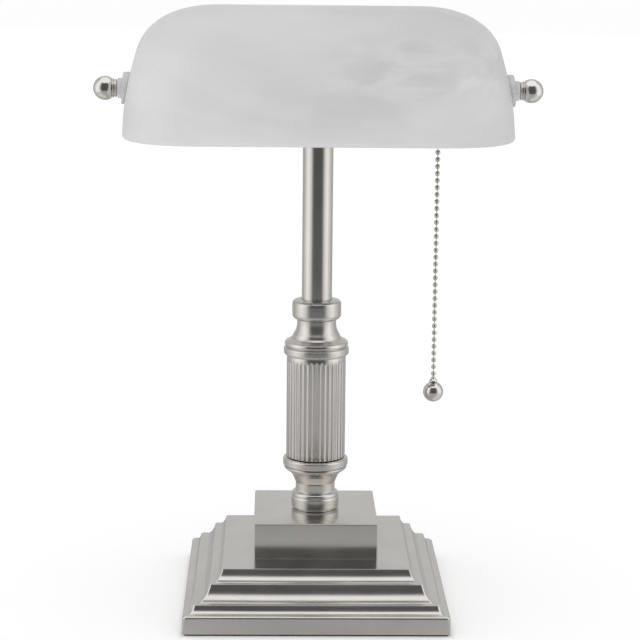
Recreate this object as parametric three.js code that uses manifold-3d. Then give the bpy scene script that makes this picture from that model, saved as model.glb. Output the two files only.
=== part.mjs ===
// Banker desk lamp: stepped square base, turned column, alabaster glass shade on two pivots,
// pull-chain socket.
// Millimetres, +Z up. The origin is the centre of the base's underside, and the front faces -Y.

import * as THREE from "three";
import { mergeVertices } from "three/addons/utils/BufferGeometryUtils.js";
import Module from "manifold-3d";

// ---------------------------------------------------------------------------------------------
// Driving dimensions

const GAP = 0.3; // left between pieces that touch
const CLEARANCE = 0.1; // radial, between a turning screw and its hole

const LAMP_HEIGHT = 374.65;

// Base
const FELT_HALF = 80.4;
const FELT_THICKNESS = 0.7;
const BASE_BOTTOM = FELT_THICKNESS + GAP;
const BASE_HALF = 81.4;
const BASE_TOP = 35.0;
const PLATE_HALF = 57.8;
const LOW_STEP = { half: 75.2, z: 17.6 }; // outer edge between the low and the middle cove
const HIGH_STEP = { half: 65.3, z: 27.6 }; // outer edge between the middle and the high cove
const LEDGE_Z = 12.4; // foot of the low cove
const COVE_REACH = THREE.MathUtils.degToRad(74); // turn of each cove, so that its head stops short of upright
const EDGE_ROUND = 1.8; // round over the upright face
const EDGE_BREAK = 0.35;
const BASE_WALL = 2.2;
const COVER_HALF = 78.4;
const COVER_THICKNESS = 1.2;
const WEIGHT_HALF = 50;
const WEIGHT_TOP = 14;
const INLET_HEIGHT = 5.9;
const INLET_R = 3.2;
const INLET_BARREL_R = 3.7;
const INLET_FLANGE_R = 4.3;

// Plinth
const PLINTH_HALF = 38.5;
const PLINTH_BOTTOM = BASE_TOP + GAP;
const PLINTH_TOP = 57.9;
const PLINTH_WALL = 2.4;

// Column: each turned piece starts GAP above the one below
const ROD_R = 4.8;
const ROD_BORE_R = 3.2;
const COLUMN_BORE_R = ROD_R + GAP;
const CAST_HOLE_R = 5.8; // the rod's hole through the base and the plinth
const FOOT_TOP = 66.2;
const LOWER_VASE_TOP = 85.8;
const LOWER_RING_TOP = 91.4;
const SLEEVE_TOP = 157.6;
const UPPER_RING_TOP = 163.0;
const UPPER_VASE_TOP = 180.0;
const COLLAR_TOP = 193.2;
const NECK_R = 12.4;
const FOOT_R = 15.1;
const RING_R = 20.5;
const RING_ROUND = 1.2;
const VASE_LIP_R = 19.8; // widest edge of each vase, against its ring
const SLEEVE_R = 18.6;
const COLLAR_R = 15.4;
const COLLAR_ROUND = 3.2;
const SLEEVE_BORE_R = 16;
const REED_COUNT = 36;
const REED_DEPTH = 0.6;
const REED_BAND = 3.5;

// Pole
const POLE_R = 9.5;
const POLE_WALL = 1.2;
const POLE_BOTTOM = 186.6;
const POLE_TOP = 294.4;
const POLE_CAP_FLANGE_R = 11.5;

// Bracket and pivots
const PIVOT_Z = 323.5;
const BRACKET_BOTTOM = 297.5;
const BRACKET_THICKNESS = 2.5;
const BRACKET_TOP = BRACKET_BOTTOM + BRACKET_THICKNESS;
const BRACKET_HALF_WIDTH = 9;
const EAR_OUTER_X = 108;
const EAR_INNER_X = EAR_OUTER_X - BRACKET_THICKNESS;
const SCREW_R = 3;
const SCREW_HOLE_R = SCREW_R + CLEARANCE;
const SCREW_INNER_X = 101;
const GROMMET_R = 10;
const GROMMET_BARREL_R = 5.4;
const GROMMET_FLANGE = 1.9; // thickness, with the gap to the glass
const GROMMET_OUTER_X = 123.3;
const GROMMET_BOSS_R = 6.2;
const KNOB_NECK_R = 5.7;
const KNOB_BALL_X = 130.8;
const KNOB_BALL_R = 7.4;

// Shade
const SHADE_TOP = LAMP_HEIGHT;
const SHADE_RIM_Z = 294.7;
const SHADE_HALF_DEPTH = 63;
const SHADE_FLAT_HALF = 61.3; // half-length of the straight middle stretch
const SHADE_RIM_HALF = 120.3;
const SHADE_BELLY = 1.95; // how far the ends bow out between the rim and the shoulder
const SHADE_SHOULDER_X = 111.5;
const SHADE_SHOULDER_Z = 347;
const SHADE_SKIRT_Z = 303; // the section is upright below this
const SHADE_SECTION_POWER = 2.15;
const SHADE_RIM_POWER = 2.75; // superellipse power of the ends in plan, at the rim and at the top
const SHADE_TOP_POWER = 1.8;
const SHADE_GLASS = 3.6;
const SHADE_HOLE_R = GROMMET_BARREL_R + GAP;

// Socket and lamp, along X
const SOCKET_Z = PIVOT_Z;
const SOCKET_R = 16.5;
const CAP_X = 89.6;
const SHELL_FAR_X = 79.4;
const SHELL_MOUTH_X = 27;
const SOCKET_PLATE_X = 90;
const SOCKET_PLATE_THICKNESS = 2;
const PLATE_SCREW_X = 97;
const PLATE_SCREW_HOLE_R = 2.3;
const NIPPLE_R = 4.8;
const SWITCH_BODY_R = 14.6;
const SWITCH_BODY_NEAR_X = 52.4;
const LAMP_BASE_R = 13;
const LAMP_R = 16;
const LAMP_END_X = -78;

// Pull chain
const CHAIN_X = 74;
const CHAIN_HOLE_R = 6; // through the bracket
const BELL_BORE_R = 2.4;
const BELL_MOUTH_Z = 299;
const BELL_TOP_Z = 309.4;
const LEVER_TOP_Z = 322.4;
const CONNECTOR_TOP_Z = 298.6;
const CHAIN_TOP_Z = 291.2;
const BEAD_R = 1.6;
const BEAD_PITCH = 4.37;
const BEAD_COUNT = 34;
const LINK_R = 0.5;
const CHAIN_BALL_R = 6.4;
const CHAIN_BALL_Z = 133.7;

// How finely round pieces are faceted
const ROUND = 20;
const COARSE = 12;

// ---------------------------------------------------------------------------------------------
// Materials

const NICKEL = { color: 0xa8a29c, roughness: 0.32, metalness: 1 };
const POLISHED = { color: 0xd6d2cc, roughness: 0.08, metalness: 1 };
const STEEL = { color: 0x9a9c9e, roughness: 0.4, metalness: 1 };
const ZINC = { color: 0xb9bcc0, roughness: 0.35, metalness: 1 };
const BRASS = { color: 0xb5934f, roughness: 0.35, metalness: 1 };
const IRON = { color: 0x3a3a3c, roughness: 0.8, metalness: 0.6 };
const FELT = { color: 0x17181a, roughness: 0.95, metalness: 0 };
const BLACK_PLASTIC = { color: 0x1c1c1e, roughness: 0.5, metalness: 0 };
const PHENOLIC = { color: 0x2b211d, roughness: 0.55, metalness: 0 };
const FIBRE = { color: 0xb89b6c, roughness: 0.9, metalness: 0 };
const CLEAR_VINYL = { color: 0xdfe4e2, roughness: 0.2, metalness: 0, transparent: true, opacity: 0.5 };
const ALABASTER = { color: 0xdedfdf, roughness: 0.35, metalness: 0 };
const LAMP_GLASS = { color: 0xf4f2ec, roughness: 0.3, metalness: 0 };

const lamp = new THREE.Group();

// Adds one named mesh, in a material of its own.
function add(name, geometry, look) {
  const mesh = new THREE.Mesh(geometry, new THREE.MeshStandardMaterial(look));
  mesh.name = name;
  lamp.add(mesh);
  return mesh;
}

// ---------------------------------------------------------------------------------------------
// Booleans

const wasm = await Module();
wasm.setup();

function solid(geometry) {
  const bare = geometry.clone();
  bare.deleteAttribute("normal");
  bare.deleteAttribute("uv");
  const merged = mergeVertices(bare, 1e-4);
  const vertProperties = new Float32Array(merged.attributes.position.array);
  const triVerts = new Uint32Array(merged.index.array);
  return new wasm.Manifold(new wasm.Mesh({ numProp: 3, vertProperties, triVerts }));
}

function geometryOf(made) {
  const mesh = made.getMesh();
  const geometry = new THREE.BufferGeometry();
  geometry.setAttribute("position", new THREE.BufferAttribute(mesh.vertProperties, 3));
  geometry.setIndex(new THREE.BufferAttribute(mesh.triVerts, 1));
  return geometry;
}

function cut(body, ...tools) {
  return geometryOf(tools.reduce((left, tool) => left.subtract(solid(tool)), solid(body)));
}

function join(first, ...others) {
  return geometryOf(others.reduce((sum, other) => sum.add(solid(other)), solid(first)));
}

// ---------------------------------------------------------------------------------------------
// Shapes

const points = (pairs) => pairs.map(([r, z]) => new THREE.Vector2(r, z));

// A quarter arc in an outline, about (r, z), from one angle to another in degrees, both ends included.
function arc(r, z, radius, from, to, steps) {
  const made = [];
  for (let i = 0; i <= steps; i++) {
    const angle = THREE.MathUtils.degToRad(from + ((to - from) * i) / steps);
    made.push([r + radius * Math.cos(angle), z + radius * Math.sin(angle)]);
  }
  return made;
}

// A ring turned about +Z. The outline runs up the outside, then down the bore, and closes on itself.
function turned(outline, segments = ROUND) {
  return new THREE.LatheGeometry(points([...outline, outline[0]]), segments).rotateX(Math.PI / 2);
}

// A solid turned about +Z, whose outline starts and ends on the axis, from the bottom up.
function spun(outline, segments = ROUND) {
  return new THREE.LatheGeometry(points(outline), segments).rotateX(Math.PI / 2);
}

const plainRing = (outer, inner, low, high, segments = ROUND) =>
  turned([[inner, low], [outer, low], [outer, high], [inner, high]], segments);

const disc = (radius, low, high, segments = ROUND) =>
  spun([[0, low], [radius, low], [radius, high], [0, high]], segments);

// Lays a shape turned about +Z along +X (side 1) or -X (side -1), at height z.
function alongX(geometry, side, z) {
  return geometry.rotateY((side * Math.PI) / 2).translate(0, 0, z);
}

// A box given by its lowest and highest corners.
function block(low, high) {
  const size = high.map((value, i) => value - low[i]);
  const centre = high.map((value, i) => (value + low[i]) / 2);
  return new THREE.BoxGeometry(...size).translate(...centre);
}

function hexNut(across, bore, low, high) {
  const nut = new THREE.CylinderGeometry(across / Math.sqrt(3), across / Math.sqrt(3), high - low, 6);
  nut.rotateX(Math.PI / 2).translate(0, 0, (low + high) / 2);
  return cut(nut, disc(bore, low - 1, high + 1, ROUND));
}

// Skins a list of closed rings, each a list of [x, y, z] with the same count, anticlockwise from above.
// The rings run up the outside, over the top and down the inside, and the last joins the first.
function skinRings(rings) {
  const count = rings[0].length;
  const index = [];
  rings.forEach((ring, level) => {
    const next = (level + 1) % rings.length;
    for (let i = 0; i < count; i++) {
      const j = (i + 1) % count;
      const [a, b] = [level * count + i, level * count + j];
      const [c, d] = [next * count + i, next * count + j];
      index.push(a, b, d, a, d, c);
    }
  });
  const geometry = new THREE.BufferGeometry();
  geometry.setAttribute("position", new THREE.Float32BufferAttribute(rings.flat(2), 3));
  geometry.setIndex(index);
  return geometry;
}

// A square ring of half-width half at height z, its corners rounded. A radius of half makes a circle.
function squareRing(half, radius, z, steps = 2) {
  const ring = [];
  for (let corner = 0; corner < 4; corner++) {
    const turn = (corner * Math.PI) / 2;
    const centre = new THREE.Vector2(half - radius, half - radius).rotateAround(new THREE.Vector2(), turn);
    for (let i = 0; i <= steps; i++) {
      const angle = turn + (i * Math.PI) / 2 / steps;
      ring.push([centre.x + radius * Math.cos(angle), centre.y + radius * Math.sin(angle), z]);
    }
  }
  return ring;
}

// ---------------------------------------------------------------------------------------------
// Base

// A hollow moulding in an outline: level at its foot, and nearly upright at its head, which lies further in.
function cove(footHalf, footZ, headHalf, headZ, steps) {
  const made = [];
  const width = (footHalf - headHalf) / Math.sin(COVE_REACH);
  const rise = (headZ - footZ) / (1 - Math.cos(COVE_REACH));
  for (let i = 0; i <= steps; i++) {
    const angle = (i / steps) * COVE_REACH;
    made.push([footHalf - width * Math.sin(angle), footZ + rise * (1 - Math.cos(angle))]);
  }
  return made;
}

// The moulding in section, [half-width, height] from the bottom edge to the plate.
function mouldingOutline() {
  return [
    [BASE_HALF - EDGE_BREAK, BASE_BOTTOM],
    [BASE_HALF, BASE_BOTTOM + EDGE_BREAK],
    ...arc(BASE_HALF - EDGE_ROUND, LEDGE_Z - EDGE_ROUND, EDGE_ROUND, 0, 90, 3),
    ...cove(BASE_HALF - EDGE_ROUND - 0.4, LEDGE_Z, LOW_STEP.half, LOW_STEP.z - EDGE_BREAK, 3),
    [LOW_STEP.half - EDGE_BREAK, LOW_STEP.z],
    ...cove(LOW_STEP.half - EDGE_BREAK * 2, LOW_STEP.z, HIGH_STEP.half, HIGH_STEP.z - EDGE_BREAK, 4),
    [HIGH_STEP.half - EDGE_BREAK, HIGH_STEP.z],
    ...cove(HIGH_STEP.half - EDGE_BREAK * 2, HIGH_STEP.z, PLATE_HALF, BASE_TOP - EDGE_BREAK, 4),
    [PLATE_HALF - EDGE_BREAK, BASE_TOP],
  ];
}

function baseCasting() {
  const cornerAt = (half) => THREE.MathUtils.mapLinear(half, PLATE_HALF, BASE_HALF, 1.2, 2.6);
  const inner = [
    [PLATE_HALF - BASE_WALL, BASE_TOP - BASE_WALL],
    [HIGH_STEP.half, LOW_STEP.z],
    [BASE_HALF - BASE_WALL, LEDGE_Z - BASE_WALL * 2],
    [BASE_HALF - BASE_WALL, BASE_BOTTOM],
  ];
  const rings = [
    ...mouldingOutline().map(([half, z]) => squareRing(half, cornerAt(half), z)),
    squareRing(CAST_HOLE_R, CAST_HOLE_R, BASE_TOP),
    squareRing(CAST_HOLE_R, CAST_HOLE_R, BASE_TOP - BASE_WALL),
    ...inner.map(([half, z]) => squareRing(half, 1, z)),
  ];
  const inletHole = disc(INLET_BARREL_R + GAP, 0, 8, COARSE).rotateX(-Math.PI / 2);
  return cut(skinRings(rings), inletHole.translate(0, BASE_HALF - 6, INLET_HEIGHT));
}

function addBase() {
  const felt = capRings([squareRing(FELT_HALF, 2, 0), squareRing(FELT_HALF, 2, FELT_THICKNESS)]);
  add("felt_pad", felt, FELT);
  add("base_casting", baseCasting(), NICKEL);

  const coverTop = BASE_BOTTOM + COVER_THICKNESS;
  const cover = capRings([squareRing(COVER_HALF, 1, BASE_BOTTOM), squareRing(COVER_HALF, 1, coverTop)]);
  const inletNotch = block([-6, 71, 0], [6, COVER_HALF + 1, coverTop + 1]);
  add("base_cover", cut(cover, inletNotch), STEEL);

  const weight = capRings([
    squareRing(WEIGHT_HALF, 4, coverTop + GAP),
    squareRing(WEIGHT_HALF, 4, WEIGHT_TOP - 2),
    squareRing(WEIGHT_HALF - 2, 4, WEIGHT_TOP),
  ]);
  add("base_weight", weight, IRON);

  // The bushing's barrel goes in from the back, so its flange stands just proud of the lowest tier.
  const bushing = turned(
    [
      [INLET_R, -4],
      [INLET_BARREL_R, -4],
      [INLET_BARREL_R, GAP],
      [INLET_FLANGE_R - 0.3, GAP],
      [INLET_FLANGE_R, GAP + 0.5],
      [INLET_FLANGE_R - 0.5, GAP + 1.3],
      [INLET_R + 0.2, GAP + 1.5],
    ],
    COARSE,
  );
  add("cord_bushing", bushing.rotateX(-Math.PI / 2).translate(0, BASE_HALF, INLET_HEIGHT), BLACK_PLASTIC);
}

function addPlinth() {
  const innerHalf = PLINTH_HALF - PLINTH_WALL;
  const ceiling = PLINTH_TOP - PLINTH_WALL;
  const rings = [
    squareRing(PLINTH_HALF, 0.8, PLINTH_BOTTOM),
    squareRing(PLINTH_HALF, 0.8, PLINTH_TOP - 0.5),
    squareRing(PLINTH_HALF - 0.5, 0.6, PLINTH_TOP),
    squareRing(CAST_HOLE_R, CAST_HOLE_R, PLINTH_TOP),
    squareRing(CAST_HOLE_R, CAST_HOLE_R, ceiling),
    squareRing(innerHalf, 0.5, ceiling),
    squareRing(innerHalf, 0.5, PLINTH_BOTTOM),
  ];
  add("plinth_block", skinRings(rings), NICKEL);
}

// ---------------------------------------------------------------------------------------------
// Column

// A column piece: its outer outline, closed by a bore of the given radius.
function columnPiece(outline, bore = COLUMN_BORE_R) {
  const [, low] = outline[0];
  const [, high] = outline[outline.length - 1];
  return turned([[bore, low], ...outline, [bore, high]]);
}

function addColumn() {
  const footBottom = PLINTH_TOP + GAP;
  add(
    "foot_collar",
    columnPiece([
      [FOOT_R - 0.7, footBottom],
      [FOOT_R, footBottom + 0.8],
      [FOOT_R, FOOT_TOP - 0.5],
      [FOOT_R - 0.4, FOOT_TOP],
    ]),
    NICKEL,
  );

  const vaseBottom = FOOT_TOP + GAP;
  add(
    "lower_vase",
    columnPiece([
      [FOOT_R - 0.3, vaseBottom],
      ...arc(NECK_R, vaseBottom + 0.6, FOOT_R - 0.3 - NECK_R, 10, 70, 2),
      [NECK_R, 70.6],
      [NECK_R, 75.4],
      [13.4, 77.2],
      [14.7, 80.4],
      [15.7, 81.4],
      [17.3, 82.7],
      [19.0, 84.0],
      [VASE_LIP_R, LOWER_VASE_TOP - 0.9],
      [VASE_LIP_R, LOWER_VASE_TOP],
    ]),
    NICKEL,
  );

  add("lower_ring", ringPiece(LOWER_VASE_TOP + GAP, LOWER_RING_TOP), NICKEL);
  add("fluted_sleeve", flutedSleeve(LOWER_RING_TOP + GAP, SLEEVE_TOP), NICKEL);
  add("upper_ring", ringPiece(SLEEVE_TOP + GAP, UPPER_RING_TOP), NICKEL);

  add(
    "upper_vase",
    columnPiece([
      [VASE_LIP_R, UPPER_RING_TOP + GAP],
      [VASE_LIP_R, 165.8],
      [18.3, 167.0],
      [16.0, 168.2],
      [15.0, 170.0],
      [13.6, 172.2],
      [NECK_R, 174.8],
      [NECK_R, UPPER_VASE_TOP],
    ]),
    NICKEL,
  );

  // The top collar is bored out above for the pole.
  const collarBottom = UPPER_VASE_TOP + GAP;
  add(
    "top_collar",
    turned([
      [COLUMN_BORE_R, collarBottom],
      ...arc(COLLAR_R - COLLAR_ROUND, collarBottom + COLLAR_ROUND, COLLAR_ROUND, -90, 0, 3),
      [COLLAR_R, 190.0],
      ...arc(COLLAR_R - 2.4, 190.2, 2.4, 30, 90, 2),
      [11.6, COLLAR_TOP],
      [POLE_R + GAP, COLLAR_TOP - 0.5],
      [POLE_R + GAP, POLE_BOTTOM - GAP],
      [COLUMN_BORE_R, POLE_BOTTOM - GAP],
    ]),
    NICKEL,
  );
}

// A plain turned ring with rounded edges.
function ringPiece(low, high) {
  return columnPiece([
    [RING_R - 1.2, low],
    ...arc(RING_R - RING_ROUND, low + RING_ROUND, RING_ROUND, -50, 0, 2),
    ...arc(RING_R - RING_ROUND, high - RING_ROUND, RING_ROUND, 0, 50, 2),
    [RING_R - 1.2, high],
  ]);
}

// Reeded tube: pointed grooves between flat-topped reeds, which stop short of a plain band at the top.
function flutedSleeve(low, high) {
  const level = (z, depth) => {
    const ring = [];
    for (let i = 0; i < REED_COUNT * 2; i++) {
      const radius = i % 2 ? SLEEVE_R - depth : SLEEVE_R;
      const angle = (i * Math.PI) / REED_COUNT;
      ring.push([radius * Math.cos(angle), radius * Math.sin(angle), z]);
    }
    return ring;
  };
  const rings = [
    level(low, REED_DEPTH),
    level(high - REED_BAND - REED_DEPTH, REED_DEPTH),
    level(high - REED_BAND, 0),
    level(high, 0),
  ];
  return cut(capRings(rings), disc(SLEEVE_BORE_R, low - 1, high + 1));
}

function addRodAndPole() {
  const plateUnderside = BASE_TOP - BASE_WALL;
  const washerLow = plateUnderside - GAP - 1.6;
  const nutHigh = washerLow - GAP;
  const nutLow = nutHigh - 6;
  add("threaded_rod", plainRing(ROD_R, ROD_BORE_R, nutLow - 3, BRACKET_TOP + 6.2, COARSE), ZINC);
  add("rod_washer", plainRing(11, COLUMN_BORE_R, washerLow, plateUnderside - GAP), ZINC);
  add("rod_nut", hexNut(16, COLUMN_BORE_R, nutLow, nutHigh), ZINC);

  add("pole_tube", plainRing(POLE_R, POLE_R - POLE_WALL, POLE_BOTTOM, POLE_TOP), NICKEL);
  const plugR = POLE_R - POLE_WALL - GAP;
  const flangeLow = POLE_TOP + GAP;
  const flangeHigh = BRACKET_BOTTOM - GAP;
  const cap = turned([
    [COLUMN_BORE_R, flangeLow - 6],
    [plugR, flangeLow - 6],
    [plugR, flangeLow],
    [POLE_CAP_FLANGE_R, flangeLow],
    [POLE_CAP_FLANGE_R, flangeHigh - 0.6],
    [POLE_CAP_FLANGE_R - 0.6, flangeHigh],
    [COLUMN_BORE_R, flangeHigh],
  ]);
  add("pole_cap", cap, NICKEL);

  const washerBottom = BRACKET_TOP + GAP;
  add("bracket_washer", plainRing(8, COLUMN_BORE_R, washerBottom, washerBottom + 1), ZINC);
  add("bracket_nut", hexNut(13.5, COLUMN_BORE_R, washerBottom + 1 + GAP, washerBottom + 5), ZINC);
}

// ---------------------------------------------------------------------------------------------
// Bracket, pivots and knobs

function shadeBracket() {
  const earTop = PIVOT_Z + BRACKET_HALF_WIDTH;
  const bend = 4;
  const outline = new THREE.Shape();
  outline.moveTo(-EAR_OUTER_X, earTop);
  outline.lineTo(-EAR_OUTER_X, BRACKET_BOTTOM + bend);
  outline.absarc(-EAR_OUTER_X + bend, BRACKET_BOTTOM + bend, bend, Math.PI, Math.PI * 1.5, false);
  outline.lineTo(EAR_OUTER_X - bend, BRACKET_BOTTOM);
  outline.absarc(EAR_OUTER_X - bend, BRACKET_BOTTOM + bend, bend, -Math.PI / 2, 0, false);
  outline.lineTo(EAR_OUTER_X, earTop);
  outline.lineTo(EAR_INNER_X, earTop);
  outline.lineTo(EAR_INNER_X, BRACKET_TOP + bend - BRACKET_THICKNESS);
  outline.absarc(EAR_OUTER_X - bend, BRACKET_BOTTOM + bend, bend - BRACKET_THICKNESS, 0, -Math.PI / 2, true);
  outline.lineTo(-EAR_OUTER_X + bend, BRACKET_TOP);
  outline.absarc(
    -EAR_OUTER_X + bend,
    BRACKET_BOTTOM + bend,
    bend - BRACKET_THICKNESS,
    -Math.PI / 2,
    -Math.PI,
    true,
  );
  outline.lineTo(-EAR_INNER_X, earTop);
  outline.closePath();
  const width = BRACKET_HALF_WIDTH * 2;
  const strip = new THREE.ExtrudeGeometry(outline, { depth: width, bevelEnabled: false, curveSegments: 4 });
  strip.rotateX(Math.PI / 2).translate(0, BRACKET_HALF_WIDTH, 0);

  // Seen from the side, the ears end in half rounds.
  const side = new THREE.Shape();
  side.moveTo(-BRACKET_HALF_WIDTH, BRACKET_BOTTOM - 1);
  side.lineTo(BRACKET_HALF_WIDTH, BRACKET_BOTTOM - 1);
  side.lineTo(BRACKET_HALF_WIDTH, PIVOT_Z);
  side.absarc(0, PIVOT_Z, BRACKET_HALF_WIDTH, 0, Math.PI, false);
  side.closePath();
  const length = EAR_OUTER_X * 2 + 2;
  const envelope = new THREE.ExtrudeGeometry(side, { depth: length, bevelEnabled: false, curveSegments: 10 });
  envelope.rotateX(Math.PI / 2).rotateZ(Math.PI / 2).translate(-length / 2, 0, 0);

  const rounded = geometryOf(solid(strip).intersect(solid(envelope)));
  const across = alongX(disc(SCREW_HOLE_R, -EAR_OUTER_X - 1, EAR_OUTER_X + 1), 1, PIVOT_Z);
  const upright = (radius, x) => disc(radius, BRACKET_BOTTOM - 1, BRACKET_TOP + 1).translate(x, 0, 0);
  const holes = [
    upright(COLUMN_BORE_R, 0),
    upright(CHAIN_HOLE_R, CHAIN_X),
    upright(PLATE_SCREW_HOLE_R, PLATE_SCREW_X),
  ];
  return cut(rounded, across, ...holes);
}

function addPivots() {
  const outside = solid(shadeForm(-GAP));
  const flangeFace = solid(shadeForm(-GROMMET_FLANGE));
  const inside = solid(shadeForm(SHADE_GLASS + GAP));
  for (const [side, label] of [[1, "right"], [-1, "left"]]) {
    const place = (geometry) => alongX(geometry, side, PIVOT_Z);

    // The grommet's flange follows the sloping glass under a round boss, and its barrel lines the hole.
    const flange = solid(place(disc(GROMMET_R, 110, 130))).intersect(flangeFace);
    const boss = solid(place(disc(GROMMET_BOSS_R, 110, GROMMET_OUTER_X)));
    const barrel = place(disc(GROMMET_BARREL_R, EAR_OUTER_X + 5.8, 121, COARSE));
    const bore = place(disc(SCREW_R + GAP, 100, 130, COARSE));
    const fitted = geometryOf(flange.add(boss).subtract(outside));
    add("outer_grommet_" + label, cut(join(fitted, barrel), bore), CLEAR_VINYL);

    // The inner washer fills the space between the ear and the glass.
    const fill = place(disc(8.6, EAR_OUTER_X + GAP, EAR_OUTER_X + 5.4));
    const washer = geometryOf(solid(fill).intersect(inside));
    add("inner_washer_" + label, cut(washer, bore), FIBRE);

    const screw = place(disc(SCREW_R, SCREW_INNER_X, 126));
    const neckStart = GROMMET_OUTER_X + GAP;
    const neckR = KNOB_NECK_R - 0.5;
    const ballTurn = Math.acos(neckR / KNOB_BALL_R) * THREE.MathUtils.RAD2DEG;
    const knob = place(
      spun(
        [
          [0, neckStart],
          [KNOB_NECK_R, neckStart],
          [KNOB_NECK_R, neckStart + 1.1],
          [neckR, neckStart + 1.4],
          ...arc(0, KNOB_BALL_X, KNOB_BALL_R, -ballTurn, 90, 7),
        ],
        16,
      ),
    );
    const knobHole = place(disc(SCREW_R + GAP, neckStart - 1, 126 + GAP));
    add("knob_" + label, cut(knob, knobHole), POLISHED);
    add("pivot_screw_" + label, screw, ZINC);

    const nut = place(hexNut(10, SCREW_HOLE_R, EAR_INNER_X - GAP - 3.6, EAR_INNER_X - GAP));
    add("screw_nut_" + label, nut, ZINC);
  }
}

// ---------------------------------------------------------------------------------------------
// Glass shade

// The shade's end in side view, from the rim to the flat top: half-length as a function of height.
const shoulder = new THREE.CubicBezierCurve(
  new THREE.Vector2(SHADE_SHOULDER_X, SHADE_SHOULDER_Z),
  new THREE.Vector2(SHADE_SHOULDER_X - 0.6, SHADE_SHOULDER_Z + 3),
  new THREE.Vector2(104, SHADE_TOP),
  new THREE.Vector2(SHADE_FLAT_HALF, SHADE_TOP),
);

function halfLengthAt(z) {
  if (z <= SHADE_SHOULDER_Z) {
    const share = (z - SHADE_RIM_Z) / (SHADE_SHOULDER_Z - SHADE_RIM_Z);
    const belly = SHADE_BELLY * Math.sin(Math.PI * share);
    return THREE.MathUtils.lerp(SHADE_RIM_HALF, SHADE_SHOULDER_X, share) + belly;
  }
  let [low, high] = [0, 1];
  for (let i = 0; i < 40; i++) {
    const middle = (low + high) / 2;
    if (shoulder.getPoint(middle).y < z) low = middle;
    else high = middle;
  }
  return shoulder.getPoint(low).x;
}

// The shade's section across its length: half-depth as a function of height.
function halfDepthAt(z) {
  if (z <= SHADE_SKIRT_Z) return SHADE_HALF_DEPTH;
  const share = (z - SHADE_SKIRT_Z) / (SHADE_TOP - SHADE_SKIRT_Z);
  return SHADE_HALF_DEPTH * (1 - share ** SHADE_SECTION_POWER) ** (1 / SHADE_SECTION_POWER);
}

// One level of the shade: straight front and back, and superelliptic ends that soften towards the top.
// inset moves the whole level inwards.
function shadeRing(z, inset, endSteps, straightSteps) {
  const depth = halfDepthAt(z) - inset;
  const bulge = halfLengthAt(z) - inset - SHADE_FLAT_HALF;
  const rise = (z - SHADE_RIM_Z) / (SHADE_TOP - SHADE_RIM_Z);
  const power = THREE.MathUtils.lerp(SHADE_RIM_POWER, SHADE_TOP_POWER, rise);
  const ring = [];
  for (const side of [1, -1]) {
    for (let i = 0; i <= endSteps; i++) {
      const angle = -Math.PI / 2 + (i * Math.PI) / endSteps;
      const along = Math.abs(Math.cos(angle)) ** (2 / power);
      const across = Math.sign(Math.sin(angle)) * Math.abs(Math.sin(angle)) ** (2 / power);
      ring.push([side * (SHADE_FLAT_HALF + bulge * along), side * depth * across, z]);
    }
    for (let i = 1; i < straightSteps; i++) {
      const x = THREE.MathUtils.lerp(SHADE_FLAT_HALF, -SHADE_FLAT_HALF, i / straightSteps);
      ring.push([side * x, side * depth, z]);
    }
  }
  return ring;
}

const SHADE_LEVELS = 9;
const SHADE_END_STEPS = 12;
const SHADE_STRAIGHT_STEPS = 3;

// The levels of one surface of the shade, from the rim up, inset from the outer form.
function shadeLevels(inset) {
  const rings = [shadeRing(SHADE_RIM_Z, inset, SHADE_END_STEPS, SHADE_STRAIGHT_STEPS)];
  for (let i = 0; i < SHADE_LEVELS; i++) {
    const angle = THREE.MathUtils.degToRad((85.5 * i) / (SHADE_LEVELS - 1));
    const z = SHADE_SKIRT_Z + (SHADE_TOP - SHADE_SKIRT_Z) * Math.sin(angle);
    // Insetting a level also lowers it, so that the glass is as thick over the top.
    const depthShare = 1 - Math.sin(angle) ** 3;
    const ring = shadeRing(z, inset * depthShare, SHADE_END_STEPS, SHADE_STRAIGHT_STEPS);
    rings.push(ring.map(([x, y, height]) => [x, y, height - inset * (1 - depthShare)]));
  }
  return rings;
}

// The shade's outer form as a filled solid, inset on every side but the open one.
function shadeForm(inset) {
  const rings = shadeLevels(inset);
  return geometryOf(solid(capRings(rings)));
}

// Closes a stack of rings below and above with flat caps.
function capRings(rings) {
  const count = rings[0].length;
  const index = [];
  for (let level = 0; level + 1 < rings.length; level++) {
    for (let i = 0; i < count; i++) {
      const j = (i + 1) % count;
      const [a, b] = [level * count + i, level * count + j];
      index.push(a, b, b + count, a, b + count, a + count);
    }
  }
  const top = (rings.length - 1) * count;
  for (let i = 1; i + 1 < count; i++) {
    index.push(0, i + 1, i);
    index.push(top, top + i, top + i + 1);
  }
  const geometry = new THREE.BufferGeometry();
  geometry.setAttribute("position", new THREE.Float32BufferAttribute(rings.flat(2), 3));
  geometry.setIndex(index);
  return geometry;
}

function addShade() {
  const hollow = shadeLevels(SHADE_GLASS);
  hollow[0] = hollow[0].map(([x, y, z]) => [x, y, z - 1]); // cuts through the rim's plane
  const holes = alongX(disc(SHADE_HOLE_R, -130, 130), 1, PIVOT_Z);
  add("glass_shade", cut(shadeForm(0), capRings(hollow), holes), ALABASTER);
}

// ---------------------------------------------------------------------------------------------
// Socket and lamp, along X at the pivots' height

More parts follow.
